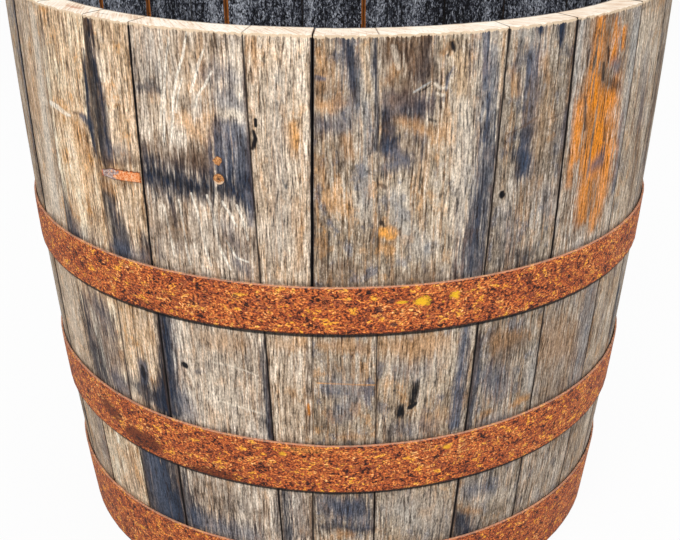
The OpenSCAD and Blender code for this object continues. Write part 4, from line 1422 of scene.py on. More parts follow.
@dataclass(frozen=True)
class WeatheredOak:
    """The outer face of one stave: grey and tan oak, with pores, streaks and stains."""

    number: int
    tone: Tone
    stains: tuple[Stroke, ...]

    def ground(self, bench: Bench, index: Paint) -> Paint:
        """Colour the bare wood through the stave's own shades.

        Args:
            bench: The material's bench.
            index: How light the wood is, round 0.5.

        Returns:
            The colour.
        """
        grey = ((78, 71, 68), (124, 114, 106), (174, 163, 151), (206, 196, 184), (232, 225, 214))
        tan = ((88, 66, 48), (144, 113, 84), (194, 165, 132), (220, 196, 168), (242, 226, 204))
        lift = 0.74 + 0.46 * self.tone.light
        shades = [srgb(*(min(250, round((g + (t - g) * self.tone.tan) * lift)) for g, t in zip(*pair)))
                  for pair in zip(grey, tan)]
        return bench.ramp(index, *zip((0.18, 0.36, 0.50, 0.62, 0.80), shades))

    def bare(self, grain: OakGrain) -> Paint:
        """Paint the bare wood, with ridges, cracks and warm and grey patches.

        Args:
            grain: The stave's pattern.

        Returns:
            The colour.
        """
        bench, tone, mottle = grain.bench, self.tone, grain.mottle
        cloud, broad = grain.freely((26, 17, 0), 5, 0.62), grain.along((62, 3.2, 0), 3, 0.6)
        colour = self.ground(bench, 0.52 + cloud * 0.62 + broad * 0.4 + grain.middle * 0.16
                             + grain.fine * 0.2 + grain.dash * 0.3)
        vein = grain.along((150, 5.5, 11), 1, 0.4)
        ridge = bench.smooth(abs(vein), 0.035, 0.010) * bench.smooth(grain.fine, -0.08, 0.04)
        colour = bench.mix(ridge * (0.55 * tone.streak), colour, PALE.value)
        hair = grain.along((300, 11, 5), 2)
        crack = bench.smooth(abs(hair), 0.030, 0.010) * bench.smooth(grain.middle, 0.10, -0.02)
        colour = bench.mix(crack * 0.6, colour, srgb(76, 56, 44))
        warm = grain.along((330, 14, 7), 3, 0.6)
        colour = bench.mix(bench.smooth(warm, 0.0, 0.14) * (0.25 + 0.35 * tone.tan), colour, HONEY.value)
        colour = bench.mix(bench.smooth(mottle, 0.03, 0.16) * tone.mottle, colour, SLATE.value)
        colour = bench.mix(bench.smooth(mottle, -0.04, -0.15) * (0.5 * tone.tan), colour, AMBER.value)
        glint = bench.smooth(grain.grit + grain.fine * 0.8, 0.12, 0.20)
        return bench.mix(glint * 0.18, colour, srgb(242, 234, 222))

    def stained(self, grain: OakGrain, colour: Paint) -> Paint:
        """Lay the stains on: soot lies solid, rust is flaky and the others thin out.

        Args:
            grain: The stave's pattern.
            colour: The colour so far.

        Returns:
            The colour with the stains on it.
        """
        bench = grain.bench
        flat = bench.stretch(grain.lay, (1, 1, 0))
        density = bench.maths("MINIMUM", 0.95 + grain.middle * 1.4 + grain.mottle * 0.9, 1.0)
        flaky = 0.92 + grain.middle * 4.4 + grain.mottle * 1.6 + grain.fine * 3.0
        flaky = bench.maths("MAXIMUM", bench.maths("MINIMUM", flaky, 1.0), 0.0)
        for stain in self.stains:
            thick = {RUST: flaky, SOOT: 1.0}.get(stain.hue, density)
            colour = stain.lay_on(bench, colour, flat, grain.breakup, thick)
        return colour

    def jointed(self, grain: OakGrain, colour: Paint) -> Paint:
        """Darken both joints with dirt, as far as each has opened; at joint 0 the wide black line is partly
        painted shade.

        Args:
            grain: The stave's pattern.
            colour: The colour so far.

        Returns:
            The colour with the dirt on it.
        """
        bench = grain.bench
        left, right, _ = bench.split(bench.attribute("edge"))
        for apart, number in ((left, self.number), (right, self.number + 1)):
            seam = seam_at(number)
            top, waist, base = seam.dark
            under_bilge = bench.maths("LESS_THAN", grain.height, BILGE.middle)
            under_quarter = bench.maths("LESS_THAN", grain.height, QUARTER.middle)
            dark = top + under_bilge * (waist - top) + under_quarter * (base - waist)
            reach = apart + grain.breakup * 0.0009
            colour = bench.mix(bench.smooth(reach, 0.0036, 0.0004) * dark * 0.45, colour, UMBER.value)
            line = bench.smooth(reach, (seam.line_mm + 0.5) * MM, seam.line_mm * MM)
            colour = bench.mix(line * dark, colour, SOOT.value)
        return colour

    @staticmethod
    def hooped(grain: OakGrain, colour: Paint) -> Paint:
        """Add dirt and painted shade at the hoops' edges, and a painted shadow under them.

        Args:
            grain: The stave's pattern.
            colour: The colour so far.

        Returns:
            The colour with the dirt, the painted shade and the painted shadow on it.
        """
        bench = grain.bench
        below, above, _ = bench.split(bench.attribute("hem"))
        # A band of dirt and painted shade along both edges of each hoop, and a painted shadow just under its
        # lower edge
        dirt = bench.smooth(below, 0.007, 0.0) * 0.5 + bench.smooth(above, 0.006, 0.0) * 0.4
        shadow = bench.smooth(below + grain.breakup * 0.0006, 0.0048, 0.0034)
        return bench.mix(bench.maths("MAXIMUM", dirt, shadow * 0.92), colour, SOOT.value)

    def make(self) -> bpy.types.Material:
        """Build the material.

        Returns:
            The material of the stave's outer face.
        """
        bench = Coating(f"oak_outside_{self.number + 1:02d}")
        grain = OakGrain(bench, self.number)
        fine, dash, height = grain.fine, grain.dash, grain.height
        colour = self.stained(grain, self.bare(grain))
        grain_and_shade_gain = 1.0 + fine * 0.75 + dash * 2.2 + grain.grit * 1.8
        # Painted shade: the wood darker towards the bottom, in one step under the upper hoop and another
        # under the middle one
        grain_and_shade_gain = grain_and_shade_gain - bench.smooth(height, 0.36, 0.30) * 0.05 - bench.smooth(height, 0.19, 0.16) * 0.08
        colour = bench.gain(colour, bench.maths("MAXIMUM", grain_and_shade_gain, 0.12))
        colour = bench.mix(bench.smooth(dash + fine * 0.7, -0.11, -0.18) * 0.5, colour, srgb(48, 36, 30))
        colour = self.hooped(grain, self.jointed(grain, colour))
        torn = bench.smooth(height + fine * 0.006 + grain.middle * 0.003, 0.5772, 0.5782)
        colour = bench.mix(torn * 0.85, colour, srgb(238, 212, 180))
        relief = fine * 0.45 + grain.middle * 0.3 + dash * 0.35 + grain.grit * 0.2
        return bench.finish(colour, 0.86 - fine * 0.2, relief, 0.8, 0.22)


@dataclass(frozen=True)
class CharredOak:
    """The inner face: fired black and grey, with pale flecks of painted highlight and amber wood at some
    joints.
    """

    amber_left: bool
    amber_right: bool

    def make(self) -> bpy.types.Material:
        """Build the material.

        Returns:
            The material of the inner face.
        """
        bench = Coating(f"oak_charred_{int(self.amber_left)}{int(self.amber_right)}")
        lay = bench.attribute("lay")
        left, right, _ = bench.split(bench.attribute("edge"))
        _, height, _ = bench.split(lay)
        streak = bench.noise(lay, (190, 7, 0), 4, 0.65)
        swirl = bench.noise(lay, (210, 120, 3), 3, 0.65, distortion=1.8)
        zone = bench.noise(lay, (9, 2, 7), 2)
        fleck = bench.noise(lay, (440, 120, 3), 3, 0.7)
        broad = bench.noise(lay, (34, 4, 0), 3, 0.6)
        grit = bench.noise(lay, (700, 330, 5), 2, 0.6)
        blocks = bench.node("ShaderNodeTexVoronoi", {"feature": "DISTANCE_TO_EDGE"},
                            {"Vector": bench.stretch(lay, (120, 62, 20)), "Scale": 1.0}, out="Distance")
        crack = bench.smooth(blocks + fleck * 0.2, 0.08, 0.0)
        colour = bench.ramp(
            0.47 + streak * 0.8 + broad * 0.9 + swirl * 1.9 + zone * 0.8,
            (0.30, srgb(20, 20, 26)), (0.44, srgb(62, 65, 76)), (0.55, srgb(110, 114, 126)),
            (0.70, srgb(176, 180, 190)))
        colour = bench.gain(colour, bench.maths("MAXIMUM", 1.0 + grit * 5.5, 0.1))
        # Painted highlights: the pale flecks stand for the gloss on the char's crackle
        colour = bench.mix(bench.smooth(fleck, 0.07, 0.16) * 0.7, colour, srgb(176, 180, 190))
        colour = bench.mix(bench.smooth(fleck, -0.05, -0.14) * 0.8, colour, srgb(14, 14, 18))
        colour = bench.mix(crack * 0.35, colour, srgb(14, 14, 18))
        for amber, apart in ((self.amber_left, left), (self.amber_right, right)):
            reach = apart + streak * 0.0024
            if amber:
                colour = bench.mix(bench.smooth(reach, 0.0036, 0.0024), colour, srgb(176, 104, 40))
                colour = bench.mix(bench.smooth(reach, 0.0020, 0.0008) * 0.8, colour, srgb(84, 40, 16))
            else:
                colour = bench.mix(bench.smooth(reach, 0.0026, 0.0006) * 0.85, colour, srgb(20, 16, 16))
        colour = bench.mix(bench.smooth(height, 0.10, 0.055) * 0.7, colour, srgb(50, 40, 34))
        return bench.finish(colour, 0.8, streak * 0.5 + fleck * 0.3 - crack * 0.6, 1.2, 0.25)


@dataclass(frozen=True)
class SawnEnd:
    """The rim: pale wood, fresh from the saw, with two brown flaws."""

    # Each flaw: azimuth, half width and half depth in millimetres, colour and strength
    flaws: tuple[tuple[float, float, float, Colour, float], ...] = (
        (-44.0, 13, 3.5, srgb(206, 146, 118), 0.75), (-37.2, 12, 1.2, srgb(150, 132, 118), 0.7))
    flaw_depth_mm: float = 12.0

    def make(self) -> bpy.types.Material:
        """Build the material.

        Returns:
            The material of the sawn rim.
        """
        bench = Coating("oak_sawn")
        lay = bench.attribute("lay")
        arc, _, depth = bench.split(lay)
        left, right, _ = bench.split(bench.attribute("edge"))
        slant = bench.node("ShaderNodeCombineXYZ", inputs={0: arc + depth * 0.9, 1: depth * 0.16})
        cloud = bench.noise(lay, (26, 0, 40), 3, 0.6)
        kerf = bench.noise(slant, (430, 300, 0), 3, 0.6)
        rays = bench.noise(lay, (900, 0, 90), 2, 0.6)
        colour = bench.ramp(
            0.52 + cloud * 0.7 + kerf * 1.1,
            (0.32, srgb(222, 190, 162)), (0.44, srgb(246, 224, 200)), (0.55, srgb(253, 240, 222)),
            (0.68, srgb(255, 248, 236)))
        colour = bench.mix(bench.smooth(rays, 0.06, 0.18) * 0.4, colour, srgb(206, 160, 124))
        for azimuth, across_mm, deep_mm, hue, strength in self.flaws:
            across, deep = across_mm * MM, deep_mm * MM
            away = bench.stretch(lay, (1 / across, 0, 1 / deep), (
                -math.radians(azimuth) * LAY_RADIUS / across, 0, -self.flaw_depth_mm * MM / deep))
            reach = bench.vector("LENGTH", away) + kerf * 1.4
            colour = bench.mix(bench.smooth(reach, 1.0, 0.3) * strength, colour, hue)
        burnt = bench.smooth(depth + kerf * 0.003, 0.0222, 0.0246)
        colour = bench.mix(burnt * 0.85, colour, srgb(70, 52, 42))
        joint = bench.smooth(bench.maths("MINIMUM", left, right) + rays * 0.0008, 0.0009, 0.0002)
        colour = bench.mix(joint * 0.6, colour, srgb(120, 84, 56))
        return bench.finish(colour, 0.75, kerf * 0.6 + rays * 0.4, 0.3, 0.25)


@dataclass(frozen=True)
class JointFace:
    """The faces between staves and the foot: brown, near black at the outside with dirt and painted shade.
    """

    def make(self) -> bpy.types.Material:
        """Build the material.

        Returns:
            The material of the staves' hidden faces.
        """
        bench = Coating("oak_joint")
        lay = bench.attribute("lay")
        _, _, depth = bench.split(lay)
        grain = bench.noise(lay, (300, 8, 300), 3, 0.6)
        colour = bench.ramp(0.5 + grain, (0.32, srgb(58, 40, 28)), (0.5, srgb(104, 74, 50)),
                            (0.7, srgb(140, 104, 72)))
        # Dirt and painted shade: near black at the outside, where the gaps between staves lie in shade
        colour = bench.mix(bench.smooth(depth, 0.009, 0.002) * 0.9, colour, srgb(16, 13, 12))
        return bench.finish(colour, 0.85, grain, 0.4, 0.2)


@dataclass(frozen=True)
class HeadOak:
    """The tub's floor: boards with the grain along Y, dark where soil has lain."""

    def make(self, name: str, shift: float) -> bpy.types.Material:
        """Build one board's material.

        Args:
            name: The material's name.
            shift: Moves the pattern, so that no two boards match.

        Returns:
            The material.
        """
        bench = Coating(name)
        place = bench.here()
        _, _, height = bench.split(place)
        grain = bench.noise(place, (330, 7, 330), 4, 0.65, (shift, shift, 0))
        fibre = bench.noise(place, (900, 26, 900), 3, 0.6, (shift, 0, shift))
        cloud = bench.noise(place, (22, 12, 5), 4, 0.6, (0, shift, 0))
        colour = bench.ramp(
            0.5 + grain * 0.55 + cloud * 0.45,
            (0.32, srgb(86, 70, 56)), (0.46, srgb(126, 106, 86)), (0.58, srgb(158, 138, 114)),
            (0.74, srgb(190, 170, 146)))
        colour = bench.gain(colour, 1.0 + fibre * 1.1)
        soiled = bench.mix(bench.smooth(cloud, -0.12, 0.12), srgb(34, 28, 25), srgb(78, 64, 52))
        colour = bench.mix(bench.smooth(height, 0.044, 0.052) * 0.85, colour, soiled)
        colour = bench.mix(bench.smooth(fibre, 0.10, 0.22) * 0.4, colour, srgb(40, 30, 24))
        return bench.finish(colour, 0.85, grain * 0.6 + fibre * 0.4, 0.6, 0.2)


@dataclass(frozen=True)
class DowelWood:
    """The pins between the floor's boards: plain turned hardwood."""

    def make(self) -> bpy.types.Material:
        """Build the material.

        Returns:
            The material.
        """
        bench = Coating("dowel_wood")
        grain = bench.noise(bench.here(), (25, 700, 700), 3, 0.6)
        colour = bench.ramp(0.5 + grain, (0.35, srgb(150, 112, 74)), (0.65, srgb(198, 162, 116)))
        return bench.finish(colour, 0.6, grain, 0.15, 0.3)


# ---------------------------------------------------------------- steel finishes


@dataclass(frozen=True)
class HoopRust:
    """Mild steel rusted all over: orange-brown, pitted, with yellow specks, a painted highlight along the
    top edge and painted shade along the lower edge.
    """

    name: str
    marks: tuple[Mark, ...]
    shift: float

    def make(self) -> bpy.types.Material:
        """Build the material.

        Returns:
            The material.
        """
        bench = Coating(self.name)
        lay = bench.attribute("lay")
        below, above, _ = bench.split(bench.attribute("edge"))
        shift = (self.shift, self.shift * 0.7, 0.0)
        zone = bench.noise(lay, (22, 34, 0), 4, 0.6, shift)
        patch = bench.noise(lay, (70, 95, 0), 3, 0.6, shift)
        scale = bench.noise(lay, (270, 330, 0), 3, 0.65, shift, 0.8)
        grit = bench.noise(lay, (430, 620, 0), 2, 0.7, shift)
        warp = bench.node("ShaderNodeTexNoise", {"noise_dimensions": "3D"}, {
            "Vector": bench.stretch(lay, (180, 200, 0), shift), "Scale": 1.0, "Detail": 2.0}, out="Color")
        flake_place = bench.vector("MULTIPLY_ADD", warp, (1.6, 1.3, 0.0),
                                   bench.stretch(lay, (230, 330, 0), shift))
        flakes = bench.node("ShaderNodeTexVoronoi", {"feature": "F1"},
                            {"Vector": flake_place, "Scale": 1.0}, out="Color")
        flake, tint, _ = bench.split(flakes)
        colour = bench.ramp(
            0.52 + (flake - 0.5) * 0.30 + scale * 1.1 + patch * 0.6 + zone * 0.6 + grit * 0.6,
            (0.20, srgb(76, 36, 26)), (0.34, srgb(132, 62, 36)), (0.48, srgb(178, 88, 46)),
            (0.62, srgb(204, 110, 54)), (0.74, srgb(224, 142, 72)), (0.86, srgb(248, 200, 140)))
        plum = bench.smooth(tint + patch * 1.6 + scale * 0.8, 0.68, 0.82)
        colour = bench.mix(plum * 0.4, colour, srgb(118, 64, 54))
        gold = bench.smooth(flake * 0.3 + scale + patch * 1.3, 0.36, 0.42)
        colour = bench.mix(gold * 0.85, colour, srgb(246, 170, 48))
        breakup = scale * 1.4 + patch * 0.8
        for mark in self.marks:
            if mark.hue is not YELLOW:
                colour = bench.mix(mark.mask(bench, lay, breakup), colour, mark.hue.value)
        pits = bench.smooth((1.0 - tint) * 0.12 + scale + patch * 0.7, -0.06, -0.12)
        colour = bench.mix(pits * 0.95, colour, srgb(44, 22, 19))
        colour = bench.gain(colour, bench.maths("MAXIMUM", 1.0 + grit * 4.6, 0.15))
        for mark in self.marks:
            if mark.hue is YELLOW:
                colour = bench.mix(mark.mask(bench, lay, breakup), colour, mark.hue.value)
        # Painted highlight: a pale line along the top edge, where light from above catches it
        rim = bench.smooth(above + scale * 0.0012, 0.0011, 0.0005)
        colour = bench.mix(rim * 0.6, colour, srgb(228, 176, 146))
        # Painted shade: the lower edge darker, part of the dark line under the hoop
        foot = bench.smooth(below + scale * 0.002, 0.0022, 0.0008)
        colour = bench.mix(foot * 0.85, colour, srgb(58, 28, 20))
        return bench.finish(colour, 0.74 + grit * 0.5, scale * 0.6 + grit * 0.4 - pits * 0.4, 1.0, 0.28)


@dataclass(frozen=True)
class RivetRust:
    """The darker rust on the rivets."""

    def make(self) -> bpy.types.Material:
        """Build the material.

        Returns:
            The material.
        """
        bench = Coating("rivet_rust")
        scale = bench.noise(bench.here(), (420, 420, 420), 4, 0.7)
        patch = bench.noise(bench.here(), (120, 120, 120), 3, 0.6, (3, 1, 7))
        colour = bench.ramp(0.5 + scale * 0.6 + patch * 0.4, (0.36, srgb(88, 44, 28)),
                            (0.5, srgb(150, 82, 48)), (0.66, srgb(206, 128, 72)))
        return bench.finish(colour, 0.7 + scale * 0.4, scale, 0.5, 0.3)


# ---------------------------------------------------------------- hoops


@dataclass
class Hoops:
    """The three steel hoops, each one strip rolled round with its ends lapped."""

    bow: Bow
    blank: Blank = Blank(744, 3, 18)
    sheet: float = 0.002
    clear: float = 0.0002
    lap: float = 0.064
    step: float = 0.006
    gap: float = 0.002
    corner: float = 0.0007
    edge_rows_mm: tuple[float, ...] = (0, 0.15, 0.45, 0.9, 1.8)
    ripple_mm: float = 0.25
    bulge_mm: float = 0.35
    nick_mm: float = 0.25
    nick_reach_mm: float = 0.5

    def degrees(self, length: float, height: float) -> float:
        """Turn a length round the barrel at a height into degrees."""
        return math.degrees(length / float(self.bow.radius(np.array(height))))

    def out(self) -> float:
        """Give how far the outer end is lifted over the inner one."""
        return self.sheet + self.clear

    def place(self, size: HoopSize, azimuth: np.ndarray, rise: np.ndarray, lift: np.ndarray) -> np.ndarray:
        """Turn places on the strip into points.

        Args:
            size: The hoop.
            azimuth: Azimuth in degrees.
            rise: Distance up the strip from its middle.
            lift: Distance out from the staves' face.

        Returns:
            One point for each place.
        """
        lean = self.bow.tilt(size.middle)
        radius = float(self.bow.radius(np.array(size.middle)))
        return ring_point(azimuth, radius + lift * math.cos(lean) - rise * math.sin(lean),
                          size.middle + lift * math.sin(lean) + rise * math.cos(lean))

    def build(self, size: HoopSize, strip: bpy.types.Object) -> bpy.types.Object:
        """Roll one hoop.

        Args:
            size: The hoop.
            strip: The straight strip that is copied.

        Returns:
            The hoop.
        """
        hoop = copy_of(strip, size.name + "_steel")
        across, through, up = self.blank.steps(hoop)
        middle = size.middle
        start = size.lap_azimuth - self.degrees(self.lap / 2, middle)
        step_end = start + 360 - self.degrees(self.gap, middle)
        step_start = step_end - self.degrees(self.step, middle)
        end = start + 360 + self.degrees(self.lap, middle)
        azimuth = start + across / self.blank.across * (end - start)
        lifted = self.out() * ease(azimuth, step_start, step_end)

        half = size.width / 2
        ends = np.array(self.edge_rows_mm) * MM
        between = np.linspace(ends[-1], size.width - ends[-1], self.blank.up + 3 - 2 * len(ends))[1:-1]
        rise = np.concatenate([ends, between, size.width - ends[::-1]])[up] - half
        edge = half - np.abs(rise)
        worn = self.corner * (1 - np.sqrt(np.clip(1 - (1 - np.clip(edge / self.corner, 0, 1)) ** 2, 0, 1)))
        share = through / self.blank.through
        lift = self.clear + lifted + self.sheet * (1 - share)
        lift = lift + np.where(share < 0.3, -worn, np.where(share > 0.7, worn * 0.6, 0))

        drift = size.drift(azimuth)
        turn = np.radians(azimuth)
        arc = turn * LAY_RADIUS
        seed = 301 + round(size.low * 1000)
        ripple = self.ripple_mm * MM * field_noise(seed, np.cos(turn) * 18, np.sin(turn) * 18)
        bulge = self.bulge_mm * MM * (field_noise(311, arc / 0.05, rise / 0.03) + 1) * (lifted < HAIR)
        overlapped = ease(np.abs((azimuth - size.lap_azimuth + 180) % 360 - 180), 8, 16)
        rise = rise + ripple + drift
        points = self.place(size, azimuth, rise, lift + bulge * overlapped)
        nick = self.nick_mm * MM * field_noise(331, arc / 0.004, rise / 0.004)
        points[:, 2] += np.where(edge < self.nick_reach_mm * MM, nick * np.sign(rise - drift) * -0.5, 0)
        wrap = np.radians(azimuth - 360) * LAY_RADIUS
        Blank.lay(hoop, points, lay=np.stack([wrap, middle + rise, lift], 1),
                  edge=np.stack([rise + half - ripple - drift, half - rise + ripple + drift, share], 1))
        smooth_shade(hoop, 50)
        return hoop


@dataclass
class Rivets:
    """Two domed rivets through the lap of each hoop."""

    hoops: Hoops
    head_radius: float = 0.0065
    head_height: float = 0.003
    edge_height: float = 0.0006
    doming: float = 0.92
    rings: Triple = (0.0012, 0.0016, 0.0018)
    shank_radius: float = 0.003
    shank_length: float = 0.0035
    pitch: float = 0.034

    def pattern(self) -> bpy.types.Object:
        """Model one rivet on the origin, with its head towards +Z and its underside half a head below.

        Returns:
            The rivet.
        """
        deselect()
        bpy.ops.mesh.primitive_cylinder_add(vertices=28, radius=self.head_radius, depth=self.head_height)
        rivet = bpy.context.object
        bpy.ops.object.mode_set(mode="EDIT")
        bpy.ops.mesh.select_mode(type="FACE")
        select_ends(rivet, 1)
        for ring in self.rings:
            bpy.ops.mesh.inset(thickness=ring, depth=0)
        select_ends(rivet, -1)
        bpy.ops.mesh.inset(thickness=self.head_radius - self.shank_radius)
        bpy.ops.mesh.extrude_region_move(TRANSFORM_OT_translate={"value": (0, 0, -self.shank_length)})
        bpy.ops.object.mode_set(mode="OBJECT")
        for vertex in rivet.data.vertices:
            if vertex.co.z > 0:
                out = math.hypot(vertex.co.x, vertex.co.y) / self.head_radius
                dome = math.sqrt(max(0.0, 1 - out * out * self.doming))
                vertex.co.z = self.edge_height + (self.head_height - self.edge_height) * dome
        return rivet

    def build(self, size: HoopSize, pattern: bpy.types.Object) -> bpy.types.Object:
        """Set two copies of the rivet in one hoop's lap, as one piece.

        Args:
            size: The hoop.
            pattern: The rivet that is copied.

        Returns:
            The pair of rivets.
        """
        pair = []
        lean = self.hoops.bow.tilt(size.middle)
        for side in (-1, 1):
            azimuth = size.lap_azimuth + side * self.hoops.degrees(self.pitch / 2, size.middle)
            lift = self.hoops.clear + self.hoops.sheet + self.hoops.out()
            point = self.hoops.place(size, np.array([azimuth]), np.zeros(1), np.array([lift]))[0]
            rivet = copy_of(pattern, f"{size.name}_rivet_{side}")
            turn = math.radians(azimuth)
            flat = math.cos(lean)
            normal = Vector((math.sin(turn) * flat, -math.cos(turn) * flat, math.sin(lean)))
            rivet.rotation_euler = normal.to_track_quat("Z", "Y").to_euler()
            rivet.location = point
            bpy.ops.object.transform_apply(location=True, rotation=True, scale=True)
            pair.append(rivet)
        return join(pair, size.name + "_rivet_heads", 40)


# ---------------------------------------------------------------- cleat and nails


@dataclass(frozen=True)
class Cleat:
    """The flat rusted strip across the narrow stave, a little out of level."""

    bow: Bow
    blank: Blank = Blank(84, 2, 16)
    azimuth: float = -34.9
    height: float = 0.445
    length: float = 0.0445
    width: float = 0.0094
    sheet: float = 0.0015
    clear: float = 0.0002
    climb: float = 0.0036
    torn_end_mm: float = 1.2
    worn_edge_mm: float = 0.35

    def build(self) -> bpy.types.Object:
        """Lay the strip on the stave, with torn edges and a narrow left end.

        Returns:
            The strip.
        """
        strip = self.blank.make("cleat_strip")
        across, through, up = self.blank.steps(strip)
        share, rise = across / self.blank.across, up / self.blank.up - 0.5
        torn = field_noise(611, share * 15, np.sign(rise) * 3)
        taper = 0.62 + 0.38 * ease(share, 0.0, 0.3)
        width = self.width * taper * (1 + 0.16 * torn * (np.abs(rise) > 0.4))
        height = self.height + (share - 0.5) * self.climb + rise * width
        ragged = field_noise(617, rise * 6, np.sign(share - 0.5)) * self.torn_end_mm * MM
        run = (share - 0.5) * (self.length + ragged)
        azimuth = self.azimuth + np.degrees(run / self.bow.radius(height))
        blister = field_noise(619, run / 0.004, height / 0.003)
        worn = self.worn_edge_mm * MM * ease(np.abs(rise), 0.36, 0.5)
        outer = self.sheet * (0.8 + 0.2 * blister) - worn
        lift = self.clear + outer * (1 - through / self.blank.through)
        points = ring_point(azimuth, self.bow.radius(height) + lift, height)
        Blank.lay(strip, points, lay=np.stack([share, rise, through], 1))
        smooth_shade(strip, 45)
        return strip


@dataclass(frozen=True)
class CleatRust:
    """Rust on the cleat: pale and grey to the left, orange to the right."""

    def make(self) -> bpy.types.Material:
        """Build the material.

        Returns:
            The material.
        """
        bench = Coating("cleat_rust")
        share, rise, _ = bench.split(bench.attribute("lay"))
        scale = bench.noise(bench.here(), (620, 620, 620), 4, 0.7)
        patch = bench.noise(bench.here(), (230, 230, 230), 3, 0.6, (3, 1, 7))
        colour = bench.ramp(
            0.52 + scale + patch * 0.5,
            (0.34, srgb(150, 66, 30)), (0.44, srgb(236, 128, 66)), (0.56, srgb(252, 164, 104)),
            (0.70, srgb(255, 210, 170)))
        bare = bench.ramp(0.5 + scale, (0.38, srgb(96, 90, 98)), (0.5, srgb(170, 160, 160)),
                          (0.62, srgb(222, 208, 200)))
        left = bench.smooth(share + patch * 1.1, 0.42, 0.34)
        colour = bench.mix(left * 0.85, colour, bare)
        tip = bench.smooth(share + scale * 0.1, 0.04, 0.02)
        colour = bench.mix(tip * 0.8, colour, srgb(216, 108, 60))
        rim = bench.smooth(abs(rise) + scale * 0.25, 0.40, 0.50)
        colour = bench.mix(rim * 0.85, colour, srgb(58, 26, 18))
        return bench.finish(colour, 0.75, scale, 0.6, 0.3)


@dataclass(frozen=True)
class Nails:
    """The two nails in the wide stave: the lower one dished, the upper one crushed."""

    bow: Bow
    azimuth: float = -17.5
    heights: tuple[float, float] = (0.457, 0.473)
    head_radius: float = 0.0047
    head_height: float = 0.0012
    rings: tuple[float, ...] = (0.0005, 0.0006, 0.0007, 0.0008, 0.0008)

    def build(self) -> bpy.types.Object:
        """Model both heads and join them.

        Returns:
            The two nail heads as one piece.
        """
        pair = [self._head(place, height) for place, height in enumerate(self.heights)]
        return join(pair, "nail_heads", 60)

    def _head(self, place: int, height: float) -> bpy.types.Object:
        """Model one head: a disc with rings, shaped by its radius and moved into place.

        Args:
            place: 0 for the dished nail and 1 for the crushed one.
            height: The height of its middle.

        Returns:
            The head.
        """
        deselect()
        bpy.ops.mesh.primitive_cylinder_add(vertices=40, radius=self.head_radius, depth=self.head_height)
        head = bpy.context.object
        bpy.ops.object.mode_set(mode="EDIT")
        bpy.ops.mesh.select_mode(type="FACE")
        select_ends(head, 1)
        for ring in self.rings:
            bpy.ops.mesh.inset(thickness=ring, depth=0)
        bpy.ops.object.mode_set(mode="OBJECT")
        side, rise, lift = points_of(head.data).T
        out = np.hypot(side, rise) / self.head_radius
        turn = np.arctan2(rise, side)
        crumple = field_noise(641, np.cos(turn) * 1.7, np.sin(turn) * 1.7, out * 2 + place * 9)
        dish = 0.35 + 0.65 * ease(out, 0.25, 0.75) - 0.45 * ease(out, 0.85, 1.0)
        crown = np.clip(1.15 - out * out * 0.6, 0, 1) + 0.3 * crumple
        shape = dish if place == 0 else crown
        scale = 1 + 0.05 * crumple if place == 0 else 0.78 + 0.28 * crumple
        top = np.where(lift > 0, shape, 0.0) * self.head_height
        azimuth = self.azimuth + np.degrees(side * scale / self.bow.radius(np.full(1, height)))
        level = height + rise * scale
        points = ring_point(azimuth, self.bow.radius(level) + top - 0.2 * MM, level)
        Blank.lay(head, points, lay=np.stack([side / self.head_radius, rise / self.head_radius,
                                              np.full(len(side), float(place))], 1))
        return head


@dataclass(frozen=True)
class NailHeadRust:
    """Rust on the nail heads: golden, dark in the dish and pale on its lower lip."""

    def make(self) -> bpy.types.Material:
        """Build the material.

        Returns:
            The material.
        """
        bench = Coating("nail_rust")
        lay = bench.attribute("lay")
        _, rise, upper = bench.split(lay)
        out = bench.vector("LENGTH", bench.stretch(lay, (1, 1, 0)))
        scale = bench.noise(bench.here(), (900, 900, 900), 3, 0.6)
        colour = bench.ramp(0.5 + scale, (0.36, srgb(120, 72, 40)), (0.5, srgb(196, 132, 78)),
                            (0.64, srgb(232, 176, 118)))
        lower = 1.0 - upper
        core = bench.smooth(out + scale * 0.3, 0.42, 0.18) * lower
        colour = bench.mix(core * 0.9, colour, srgb(56, 34, 26))
        lip = bench.smooth(out, 0.55, 0.75) * bench.smooth(rise, -0.1, -0.55) * lower
        colour = bench.mix(lip * 0.85, colour, srgb(238, 208, 176))
        edge = bench.smooth(out, 0.86, 1.0) * bench.smooth(rise, -0.3, 0.4)
        colour = bench.mix(edge * 0.7, colour, srgb(78, 48, 32))
        return bench.finish(colour, 0.7, scale, 0.3, 0.3)


# ---------------------------------------------------------------- studio


@dataclass(frozen=True)
class Softbox:
    """One square lamp that faces the tub."""

    name: str
    place: Triple
    size: float
    watts: float
    warmth: Triple = (1.0, 1.0, 1.0)


